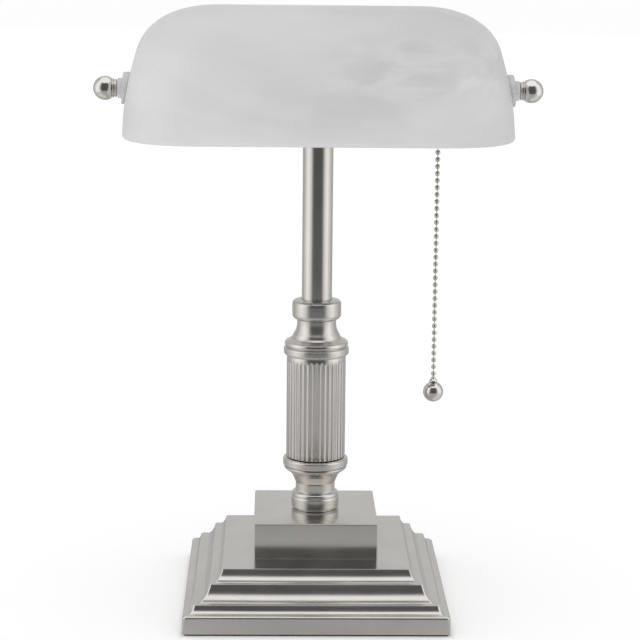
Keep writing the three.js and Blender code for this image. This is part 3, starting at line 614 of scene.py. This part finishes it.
def column_piece(name, node, outline, radius=0.15):
    """A turned piece from its outer outline, bored for the rod."""
    bottom, top = low(node)[2] - SEAM, high(node)[2] + SEAM
    closed = [(BORE, bottom), (outline[0][0], bottom), *outline, (outline[-1][0], top), (BORE, top)]
    dress(turned(name, filleted(closed, radius)), "brushed_nickel", "stand", node)


def build_foot():
    bottom, top = low("foot_collar")[2], high("foot_collar")[2]
    outline = [(14.2, bottom + 0.5), (15.1, bottom + 1.2), (15.1, top - 0.7), (14.6, top)]
    column_piece("foot", "foot_collar", outline, 0.35)


def build_lower_vase():
    z = low("lower_vase")[2]
    waist = raised(z, [(12.5, 3.2), (12.4, 4.9), (12.5, 8.5), (13.4, 10.7), (14.6, 13.5)])
    lip = raised(z, [(15.3, 14.4), (16.6, 15.7), (18.6, 17.1), (19.8, 18.3), (19.8, 19.4)])
    outline = [*arc(12.7, z + 0.8, 2.1, -10, 75, 6), *flowing(waist), *flowing(lip)]
    column_piece("vase_low", "lower_vase", outline)


def build_ring(name, node):
    bottom, top = low(node)[2], high(node)[2]
    reach = high(node)[0]
    outline = [
        (reach - RING_ROUND - 0.1, bottom + 0.1),
        *arc(reach - RING_ROUND, bottom + RING_ROUND + 0.1, RING_ROUND, -62, 0, 6),
        *arc(reach - RING_ROUND, top - RING_ROUND - 0.1, RING_ROUND, 0, 62, 6),
        (reach - RING_ROUND - 0.1, top - 0.1),
    ]
    column_piece(name, node, outline)


def build_upper_vase():
    z = low("upper_vase")[2]
    shoulder = raised(z, [(19.8, 0.7), (20.0, 1.5), (19.5, 2.9), (18.1, 3.8), (16.0, 4.8)])
    throat = raised(
        z, [(15.2, 5.9), (14.5, 7.5), (13.4, 9.5), (12.6, 11.7), (12.35, 13.9), (12.35, 16.5)]
    )
    outline = [(19.3, z), *flowing(shoulder), *flowing(throat)]
    column_piece("vase_high", "upper_vase", outline)


def build_collar():
    """The ring that the pole stands in."""
    z, top = low("top_collar")[2], high("top_collar")[2]
    seat = low("pole_tube")[2] - 0.2
    outline = [
        (BORE, z - SEAM),
        (12.2, z - SEAM),
        *arc(12.2, z + 3.2, 3.2, -84, 0, 12),
        (15.4, z + 9.3),
        *arc(13.0, z + 9.8, 2.4, 12, 84, 8),
        (11.7, top - 0.4),
        (10.2, top),
        (9.6, top - 0.2),
        (9.6, seat),
        (BORE, seat),
    ]
    dress(turned("collar", filleted(outline, 0.3)), "brushed_nickel", "stand", "top_collar")


def build_pole():
    bottom, top = low("pole_tube")[2], high("pole_tube")[2]
    tube = [(8.3, bottom), (9.2, bottom), (9.5, bottom + 0.4), (9.5, top - 0.4), (9.2, top), (8.3, top)]
    dress(turned("pole", tube), "brushed_nickel", "stand", "pole_tube")
    bottom, top = low("pole_cap")[2], high("pole_cap")[2]
    flange = top - 2.6
    cap = [
        (BORE, bottom),
        (8.0, bottom),
        (8.0, flange),
        (11.5, flange),
        (11.5, top - 0.5),
        (11.0, top),
        (BORE, top),
    ]
    dress(turned("pole_top", filleted(cap, 0.3)), "brushed_nickel", "stand", "pole_cap")


def build_sleeve():
    """Fine upright reeds: rounded crests and narrow grooves, below a plain band."""
    bottom, top = low("fluted_sleeve")[2] + 3 * SEAM, high("fluted_sleeve")[2] + SEAM
    outer = high("fluted_sleeve")[0]
    reeds, per_reed, depth = 36, 16, 0.42
    band, wall, fade, levels = 3.5, 2.5, 0.8, 5

    def level(z, cut, inset=0.0):
        ring = []
        for i in range(reeds * per_reed):
            phase = i / per_reed % 1.0
            groove = abs(math.cos(math.pi * phase)) ** 2.4
            radius = outer - inset - cut * groove
            angle = 2 * math.pi * i / (reeds * per_reed)
            ring.append((radius * math.cos(angle), radius * math.sin(angle), z))
        return ring

    rings = [level(bottom, depth, 0.3), level(bottom + 0.3, depth)]
    for i in range(levels + 1):
        share = i / levels
        rings.append(level(top - band - fade * (1 - share), depth * math.cos(math.pi / 2 * share)))
    rings += [level(top - 0.3, 0), level(top, 0, 0.3), level(top, 0, wall), level(bottom, 0, wall)]
    dress(loft("reeded_sleeve", rings, closed=True, sharp=60), "brushed_nickel", "stand", "fluted_sleeve")


# ---------------------------------------------------------------------------------------------
# Glass shade

RIM_Z = low("glass_shade")[2]
SHADE_TOP = 374.65
HALF_DEPTH = 63.0
FLAT_HALF = 61.3
RIM_HALF = 120.3
BELLY = 1.95
SHOULDER_X = 111.5
SHOULDER_Z = 347.0
SKIRT_Z = 303.0
SECTION_POWER = 2.15
GLASS = 3.6
PIVOT_HOLE_R = 5.7
SHOULDER = [
    Vector((SHOULDER_X, SHOULDER_Z)),
    Vector((SHOULDER_X - 0.6, SHOULDER_Z + 3)),
    Vector((104, SHADE_TOP)),
    Vector((FLAT_HALF, SHADE_TOP)),
]


def bezier(t):
    a, b, c, d = SHOULDER
    return a * (1 - t) ** 3 + b * 3 * t * (1 - t) ** 2 + c * 3 * t * t * (1 - t) + d * t**3


def half_length(z):
    if z <= SHOULDER_Z:
        share = (z - RIM_Z) / (SHOULDER_Z - RIM_Z)
        return RIM_HALF + (SHOULDER_X - RIM_HALF) * share + BELLY * math.sin(math.pi * share)
    below, above = 0.0, 1.0
    for _ in range(40):
        middle = (below + above) / 2
        if bezier(middle)[1] < z:
            below = middle
        else:
            above = middle
    return bezier(below)[0]


def half_depth(z):
    if z <= SKIRT_Z:
        return HALF_DEPTH
    share = min((z - SKIRT_Z) / (SHADE_TOP - SKIRT_Z), 1.0)
    return HALF_DEPTH * (1 - share**SECTION_POWER) ** (1 / SECTION_POWER)


def end_power(z):
    return 2.75 + (1.8 - 2.75) * (z - RIM_Z) / (SHADE_TOP - RIM_Z)


def shade_ring(z, inset, end_steps=40, straight=16):
    depth = half_depth(z) - inset
    bulge = half_length(z) - inset - FLAT_HALF
    power = end_power(z)
    ring = []
    for side in (1, -1):
        for i in range(end_steps + 1):
            angle = -math.pi / 2 + math.pi * i / end_steps
            along = abs(math.cos(angle)) ** (2 / power)
            across = math.copysign(abs(math.sin(angle)) ** (2 / power), math.sin(angle))
            ring.append((side * (FLAT_HALF + bulge * along), side * depth * across, z))
        for i in range(1, straight):
            x = FLAT_HALF - 2 * FLAT_HALF * i / straight
            ring.append((side * x, side * depth, z))
    return ring


def glass_face(y, z):
    """How far out the shade's end is at a depth and a height."""
    power = end_power(z)
    sine = min((abs(y) / half_depth(z)) ** (power / 2), 1.0)
    cosine = math.sqrt(1 - sine * sine)
    return FLAT_HALF + (half_length(z) - FLAT_HALF) * cosine ** (2 / power)


def shade_surface(inset, first_z, levels=44, last=88.6):
    rings = []
    for i in range(5):
        z = first_z + (SKIRT_Z - first_z) * i / 5
        rings.append(shade_ring(z, inset))
    for i in range(levels + 1):
        angle = math.radians(last * i / levels)
        z = SKIRT_Z + (SHADE_TOP - SKIRT_Z) * math.sin(angle)
        share = 1 - math.sin(angle) ** 3
        rings.append([(x, y, h - inset * (1 - share)) for x, y, h in shade_ring(z, inset * share)])
    return rings


def build_shade():
    lip = GLASS / 2
    outer = shade_surface(0, RIM_Z + lip)
    inner = shade_surface(GLASS, RIM_Z + lip, last=84.0)
    rim = []
    for i in range(1, 8):
        angle = math.pi * i / 8
        rim.append(shade_ring_at(RIM_Z + lip, lip - lip * math.cos(angle), lip * math.sin(angle)))
    rings = [*reversed(outer), *rim, *inner]
    shade = loft("shade_glass", rings, capped=True, sharp=50)
    for side in (1, -1):
        drill = [(PIVOT_HOLE_R, SHOULDER_X - 11), (PIVOT_HOLE_R, RIM_HALF + 10)]
        carve(shade, lay_along_x(turned("hole", drill, 48, closed=False), side))
    for face in shade.data.polygons:
        face.use_smooth = True
    dress(shade, "alabaster_glass", "shade", "glass_shade")


def shade_ring_at(z, inset, drop):
    """A level of the rim's rounded lip, below the form it continues."""
    return [(x, y, h - drop) for x, y, h in shade_ring(z, inset)]


# ---------------------------------------------------------------------------------------------
# Pivots and knobs


def side_span(node):
    """How near to the middle of the lamp a side piece starts, and how far out it ends."""
    ends = sorted((abs(low(node)[0]), abs(high(node)[0])))
    return ends[0], ends[1]


def build_grommet(side, label):
    """A soft washer whose back follows the glass and whose face is square to the axis."""
    node = "outer_grommet_" + label
    outer_x = side_span(node)[1]
    flange_x = glass_face(0, PIVOT_Z - 10) + 2.2
    # (radius, distance from the glass, plane square to the axis, how far the point moves to that plane)
    section = [
        (3.3, 0.05, flange_x, 0.0),
        (9.6, 0.05, flange_x, 0.0),
        (9.95, 0.3, flange_x, 0.1),
        (10.0, 0.9, flange_x, 0.4),
        (9.8, 1.5, flange_x, 0.6),
        (9.2, 1.7, flange_x, 0.65),
        (6.8, 1.7, flange_x, 0.65),
        (6.4, 1.9, flange_x, 0.75),
        (6.15, 2.6, outer_x, 0.35),
        (6.1, 3.4, outer_x, 0.7),
        (5.9, 4.0, outer_x, 0.95),
        (5.5, 4.2, outer_x, 1.0),
        (3.3, 4.2, outer_x, 1.0),
    ]
    rings = []
    for radius, distance, plane, square in section:
        ring = []
        for y, rise, _ in circle(radius, 0, 72):
            slanted = glass_face(y, PIVOT_Z + rise) + distance
            x = slanted * (1 - square) + plane * square
            ring.append((side * min(x, outer_x), y, PIVOT_Z + rise))
        rings.append(ring)
    dress(loft(node + "_vinyl", rings, closed=True), "clear_vinyl", "shade", node)


def build_knob(side, label):
    """A polished ball on a neck of three turned rings."""
    start_x, end_x = side_span("knob_" + label)
    ball_r = 7.4
    first = raised(start_x, [(5.2, 0), (5.75, 0.5), (5.5, 1.1), (4.9, 1.3)])
    second = raised(start_x, [(4.9, 1.5), (5.9, 1.8), (6.05, 2.3), (5.5, 2.8)])
    third = raised(start_x, [(5.3, 3.1), (6.1, 3.3), (6.25, 3.7), (6.1, 4.0)])
    outline = [
        (3.3, start_x),
        *filleted(first, 0.25),
        *filleted(second, 0.3),
        (5.2, start_x + 2.95),
        *filleted(third, 0.3),
        *arc(0, end_x - ball_r, ball_r, -32, 89.5, 28),
    ]
    knob = turned("ball_knob_" + label, outline, 72, closed=False, sharp=40)
    dress(lay_along_x(knob, side), "polished_nickel", label + "_knob", "knob_" + label)


# ---------------------------------------------------------------------------------------------
# Socket and lamp


def build_shell():
    """The lampholder's metal cap and shell, and the fibre lining inside the shell."""
    near, far = low("socket_cap")[0], high("socket_cap")[0]
    outline = [
        (BORE, far - 0.8),
        (8, far - 0.8),
        (14.5, far - 4.4),
        (16.2, near + 1.5),
        (16.2, near),
        (17, near),
        (17, near + 1.7),
        (15.4, far - 3.7),
        (8.6, far - 0.1),
        (BORE, far),
    ]
    dress(lay_along_x(turned("cap_shell", filleted(outline, 1.0, 4)), 1), "brass", "stand", "socket_cap")

    near, far = low("socket_shell")[0], high("socket_shell")[0]
    outside = [(16.4, near), (17.05, near + 0.5), (16.9, near + 1.3), (16.5, near + 1.9), (16.5, far - 9)]
    bead = arc(16.5, far - 8.2, 0.45, -90, 90, 6)
    outline = [(15.9, near + 0.4), *outside, *bead, (16.5, far), (15.9, far)]
    shell = lay_along_x(turned("shell_tube", filleted(outline, 0.2, 2)), 1)
    carve(shell, chain_hole(3.5))
    dress(shell, "brass", "stand", "socket_shell")

    near, far = low("socket_insulator")[0], high("socket_insulator")[0]
    liner = lay_along_x(turned("liner", [(15.0, near), (15.6, near), (15.6, far), (15.0, far)]), 1)
    carve(liner, chain_hole(4.8))
    dress(liner, "fibre", "stand", "socket_insulator")


def build_lamp():
    """The tubular lamp: its threaded cap and its glass."""
    near, far = low("bulb_base")[0], high("bulb_base")[0]
    thread_length, thread_pitch, steps = 18.0, 3.6, 59
    thread = []
    for i in range(steps + 1):
        along = thread_length * i / steps
        wave = 0.45 * math.cos(2 * math.pi * along / thread_pitch + math.pi)
        thread.append((12.55 + wave, far - 5.0 - along))
    tip = [(0.01, far), (2.9, far), (4.0, far - 1.2), (9.5, far - 3), (11.6, far - 4.2)]
    base = turned("cap_thread", [*tip, *thread, (12.7, near)], closed=False, sharp=50)
    dress(lay_along_x(base, 1), "brass", "lamp_bulb", "bulb_base")

    end_x, neck = low("bulb_glass")[0], high("bulb_glass")[0]
    radius = high("bulb_glass")[1]
    shoulder = [
        (radius, neck - 21),
        (radius - 0.15, neck - 15),
        (15.1, neck - 9.5),
        (13.4, neck - 4.5),
        (12.6, neck),
    ]
    outline = [*arc(0, end_x + radius, radius, -89.5, 0, 20), *flowing(shoulder, 8)]
    bulb = lay_along_x(turned("bulb", outline, closed=False, sharp=60), 1)
    dress(bulb, "lamp_glass", "lamp_bulb", "bulb_glass")


def build_guide():
    """The bell-mouthed guide that the chain comes out of."""
    bottom, top = low("bell_mouth")[2], high("bell_mouth")[2]
    outline = [
        (2.4, top),
        (2.4, bottom + 2.6),
        (2.7, bottom + 1.3),
        (3.7, bottom),
        (4.4, bottom),
        (4.3, bottom + 0.5),
        (3.4, bottom + 1.7),
        (3.2, bottom + 2.8),
        (3.2, top - 0.7),
        (4.0, top - 0.7),
        (4.0, top),
    ]
    guide = shift(turned("chain_guide", filleted(outline, 0.4), 64), x=CHAIN_X)
    dress(guide, "brass", "stand", "bell_mouth")


def chain_hole(radius):
    """A cutter for the chain's way out, through the bottom of the socket only."""
    below = low("socket_shell")[2] - 5
    return shift(turned("hole", [(radius, below), (radius, PIVOT_Z)], 48, closed=False), x=CHAIN_X)


def build_spring():
    """The coil spring above the chain's guide, which a pull of the chain closes up."""
    bottom, top = low("return_spring")[2], high("return_spring")[2]
    wire, turns, per_turn, sides = 0.4, 5, 28, 10
    coil_r = (high("return_spring")[0] - low("return_spring")[0]) / 2 - wire
    rings = []
    for i in range(turns * per_turn + 1):
        angle = 2 * math.pi * i / per_turn
        centre = bottom + wire + (top - bottom - 2 * wire) * i / (turns * per_turn)
        ring = []
        for out, up, _ in circle(wire, 0, sides):
            r = coil_r + out
            ring.append((CHAIN_X + r * math.cos(angle), r * math.sin(angle), centre + up))
        rings.append(ring)
    coil = dress(loft("return_coil", rings, capped=True), "zinc_plated_steel", "stand", "return_spring")
    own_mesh(coil)


# ---------------------------------------------------------------------------------------------
# Pull chain

BEAD_R = 1.6
PITCH = 4.37
LINK_R = 0.3


def merge(name, parts):
    """One object from several."""
    body = bmesh.new()
    for part in parts:
        body.from_mesh(part.data)
        bpy.data.objects.remove(part)
    mesh = bpy.data.meshes.new(name)
    body.to_mesh(mesh)
    body.free()
    made = bpy.data.objects.new(name, mesh)
    bpy.context.scene.collection.objects.link(made)
    return made


def build_chain():
    """Hollow beads on short links."""
    bottom, top = low("pull_chain")[2], high("pull_chain")[2]
    count = round((top - bottom - 2 * BEAD_R) / PITCH) + 1
    parts = []
    for i in range(count):
        z = top - BEAD_R - i * PITCH
        # Each bead has a small rolled hole at each pole.
        lower, upper = raised(z, [(0.42, -1.2), (0.62, -1.5)]), raised(z, [(0.62, 1.5), (0.42, 1.2)])
        bead = [*lower, *arc(0, z, BEAD_R, -66, 66, 12), *upper]
        parts.append(turned("bead", bead, 24, sharp=50))
        if i + 1 < count:
            link = [(LINK_R, z - PITCH + 1.0), (LINK_R, z - 1.0)]
            parts.append(turned("link", link, 12, closed=False))
    parts.append(turned("link", [(LINK_R, top - 0.9), (LINK_R, top + 0.5)], 12, closed=False))
    chain = shift(merge("bead_chain", parts), x=CHAIN_X)
    dress(chain, "polished_nickel", "hanging_chain", "pull_chain")


def build_coupling():
    bottom, top = low("chain_connector")[2], high("chain_connector")[2]
    waist = midpoint("chain_connector", 2)
    outline = [
        (0.5, bottom),
        (1.2, bottom),
        (2.1, bottom + 0.8),
        (2.1, waist - 0.5),
        (1.75, waist),
        (2.1, waist + 0.5),
        (2.1, top - 1.8),
        (1.2, top - 0.4),
        (0.5, top),
    ]
    coupling = turned("chain_coupling_shell", filleted(outline, 0.5, 4), 48, closed=False)
    dress(shift(coupling, x=CHAIN_X), "polished_nickel", "chain_coupling", "chain_connector")


def build_chain_end():
    """The ball at the chain's end and the cap above it."""
    bottom, top = low("chain_bell")[2], high("chain_bell")[2]
    skirt = raised(bottom, [(0.5, 0), (2.7, 0), (2.75, 0.4), (2.3, 1.1), (1.6, 2.0)])
    outline = [*skirt, (1.3, top - 0.4), (0.9, top)]
    cap = turned("chain_end_cap", filleted(outline, 0.3), 48, closed=False)
    dress(shift(cap, x=CHAIN_X), "polished_nickel", "hanging_chain", "chain_bell")

    radius = (high("chain_ball")[2] - low("chain_ball")[2]) / 2
    outline = arc(0, midpoint("chain_ball", 2), radius, -89.5, 89.5, 40)
    ball = turned("chain_end_ball", outline, 64, closed=False, sharp=40)
    dress(shift(ball, x=CHAIN_X), "polished_nickel", "hanging_chain", "chain_ball")


# ---------------------------------------------------------------------------------------------
# CAD nodes that stay: a better material, and broken edges

KEPT = {
    "zinc_plated_steel": [
        "threaded_rod",
        "rod_washer",
        "rod_nut",
        "bracket_washer",
        "bracket_nut",
        "screw_nut_left",
        "screw_nut_right",
        "socket_bracket_screw",
        "socket_nipple",
        "nipple_locknut",
        "pivot_screw_left",
        "pivot_screw_right",
    ],
    "plain_steel": ["base_cover", "shade_bracket", "socket_bracket", "pull_lever"],
    "brass": ["screw_shell", "centre_contact"],
    "cast_iron": ["base_weight"],
    "black_felt": ["felt_pad"],
    "black_plastic": ["switch_rotor"],
    "phenolic": ["switch_body"],
    "fibre": ["inner_washer_left", "inner_washer_right"],
}
BEVELLED = (
    "shade_bracket",
    "socket_bracket",
    "bracket_nut",
    "nipple_locknut",
    "screw_nut_left",
    "screw_nut_right",
)


def finish_cad_nodes():
    for slot, names in KEPT.items():
        for name in names:
            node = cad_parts[name]
            if not node.material_slots:
                node.data.materials.append(LOOKS[slot])
            for material_slot in node.material_slots:
                material_slot.material = LOOKS[slot]
            if name in BEVELLED:
                bevel = node.modifiers.new("edges", "BEVEL")
                bevel.width = 0.3 * MM
                bevel.segments = 2
                bevel.limit_method = "ANGLE"
                bevel.angle_limit = math.radians(40)


# ---------------------------------------------------------------------------------------------
# Studio

# How bright the studio looks in the metal, from straight behind the camera (0) to the back wall (1).
SURROUNDINGS = [
    (0, 0.1),
    (0.08, 0.12),
    (0.2, 0.95),
    (0.38, 1.28),
    (0.55, 1.0),
    (0.8, 0.52),
    (0.9, 0.53),
    (1, 0.66),
]
CEILING = 1.2
# The same for the floor near the lamp.
NEAR_FLOOR = [(0, 0.46), (0.1, 0.5), (0.38, 0.85), (0.6, 0.72), (0.8, 0.5), (1, 0.5)]
FLOOR_HALF_M = 6.0
FLOOR_GLOW = 0.2
WHITE = (0.985, 0.985, 0.985, 1)


def surroundings(tree, direction, stops=SURROUNDINGS):
    """The studio's brightness along a direction, by how far it points away from the camera."""
    parts = put(tree, "ShaderNodeSeparateXYZ", {"Vector": direction})
    flat = put(tree, "ShaderNodeCombineXYZ", {"X": parts.outputs["X"], "Y": parts.outputs["Y"], "Z": 0.0})
    level = put(tree, "ShaderNodeVectorMath", {0: flat.outputs[0]}, operation="NORMALIZE")
    towards = put(tree, "ShaderNodeSeparateXYZ", {"Vector": level.outputs[0]})
    share = remap(tree, towards.outputs["Y"], -1.0, 1.0)
    return ramp(tree, share, [(place, (value,) * 3) for place, value in stops])


def build_world():
    """A soft studio: bright sides and ceiling, a dim gap behind the camera, a grey wall, a white backdrop."""
    world = bpy.data.worlds.new("studio")
    bpy.context.scene.world = world
    world.use_nodes = True
    tree = world.node_tree
    tree.nodes.clear()
    direction = put(tree, "ShaderNodeTexCoord").outputs["Generated"]
    height = put(tree, "ShaderNodeSeparateXYZ", {"Vector": direction}).outputs["Z"]
    rise = remap(tree, height, 0.7, 0.88, curve="SMOOTHSTEP")
    mirrored = mix_colours(tree, rise, surroundings(tree, direction), (CEILING, CEILING, CEILING, 1))
    # Soft light for dull surfaces, a little stronger from below and from the front left.
    lean = put(
        tree, "ShaderNodeVectorMath", {0: direction, 1: (-0.07, -0.06, -0.14)}, operation="DOT_PRODUCT"
    )
    soft = calc(tree, "ADD", lean.outputs["Value"], 0.98)
    path = put(tree, "ShaderNodeLightPath").outputs
    backdrop = put(tree, "ShaderNodeBackground", {"Color": WHITE, "Strength": 1.0})
    lit = put(tree, "ShaderNodeBackground", {"Color": soft, "Strength": 1.0})
    shown = put(tree, "ShaderNodeBackground", {"Color": mirrored, "Strength": 1.0})
    either = mix_shaders(tree, path["Is Diffuse Ray"], backdrop, lit)
    both = mix_shaders(tree, path["Is Glossy Ray"], either, shown)
    put(tree, "ShaderNodeOutputWorld", {"Surface": both.outputs[0]})


def build_floor():
    """White paper. Metal mirrors it grey near the lamp, and as the studio beyond it further off."""
    mesh = bpy.data.meshes.new("floor")
    corners = [(-1, -1), (1, -1), (1, 1), (-1, 1)]
    mesh.from_pydata([(x * FLOOR_HALF_M, y * FLOOR_HALF_M, 0) for x, y in corners], [], [(0, 1, 2, 3)])
    floor = bpy.data.objects.new("floor", mesh)
    bpy.context.scene.collection.objects.link(floor)
    material, tree = start("floor_paper")
    where = put(tree, "ShaderNodeTexCoord").outputs["Object"]
    grain = noise(tree, where, 300.0, 2.0)
    # The glow that keeps the paper white stops at the base's edge, so that the crack beneath it stays dark.
    spans = put(tree, "ShaderNodeVectorMath", {0: where}, operation="ABSOLUTE")
    sides = put(tree, "ShaderNodeSeparateXYZ", {"Vector": spans.outputs["Vector"]})
    outwards = calc(tree, "MAXIMUM", sides.outputs["X"], sides.outputs["Y"])
    glow = remap(tree, outwards, 0.0815, 0.085, 0.0, FLOOR_GLOW)
    paper = put(
        tree,
        "ShaderNodeBsdfPrincipled",
        {
            "Base Color": ramp(tree, grain, [(0.0, (0.92, 0.92, 0.92)), (1.0, (0.94, 0.94, 0.94))]),
            "Roughness": 0.9,
            "Specular IOR Level": 0.0,
            "Emission Color": (1, 1, 1, 1),
            "Emission Strength": glow,
        },
    )
    away = put(tree, "ShaderNodeVectorMath", {0: where}, operation="LENGTH")
    far = remap(tree, away.outputs["Value"], 0.55, 0.95, curve="SMOOTHSTEP")
    seen = mix_colours(tree, far, surroundings(tree, where, NEAR_FLOOR), surroundings(tree, where))
    mirrored = put(tree, "ShaderNodeEmission", {"Color": seen, "Strength": 1.0})
    glossy = put(tree, "ShaderNodeLightPath").outputs["Is Glossy Ray"]
    end(tree, mix_shaders(tree, glossy, paper, mirrored))
    mesh.materials.append(material)


CAMERA_LENS = 118.1
CAMERA_PLACE_M = (0.0021, -1.29117, 0.4355)
CAMERA_DIP = math.radians(11.222)
CAMERA_ROLL = math.radians(0.55)
CAMERA_TURN = math.radians(-1.25)  # round the lamp's own axis


def build_camera():
    camera = bpy.data.cameras.new("camera")
    camera.sensor_width = 36
    camera.lens = CAMERA_LENS
    camera.clip_start = 0.05
    camera.clip_end = 50
    holder = bpy.data.objects.new("camera", camera)
    bpy.context.scene.collection.objects.link(holder)
    holder.matrix_world = (
        Matrix.Rotation(CAMERA_TURN, 4, "Z")
        @ Matrix.Translation(CAMERA_PLACE_M)
        @ Matrix.Rotation(math.pi / 2 - CAMERA_DIP, 4, "X")
        @ Matrix.Rotation(CAMERA_ROLL, 4, "Z")
    )
    bpy.context.scene.camera = holder


# ---------------------------------------------------------------------------------------------

build_camera()
build_world()
build_floor()
build_base()
build_bushing()
build_plinth()
build_foot()
build_lower_vase()
build_ring("ring_low", "lower_ring")
build_ring("ring_high", "upper_ring")
build_sleeve()
build_upper_vase()
build_collar()
build_pole()
build_shade()
for side, label in ((1, "right"), (-1, "left")):
    build_grommet(side, label)
    build_knob(side, label)
build_shell()
build_lamp()
build_guide()
build_spring()
build_chain()
build_coupling()
build_chain_end()
finish_cad_nodes()
bpy.context.scene.view_settings.view_transform = "Standard"
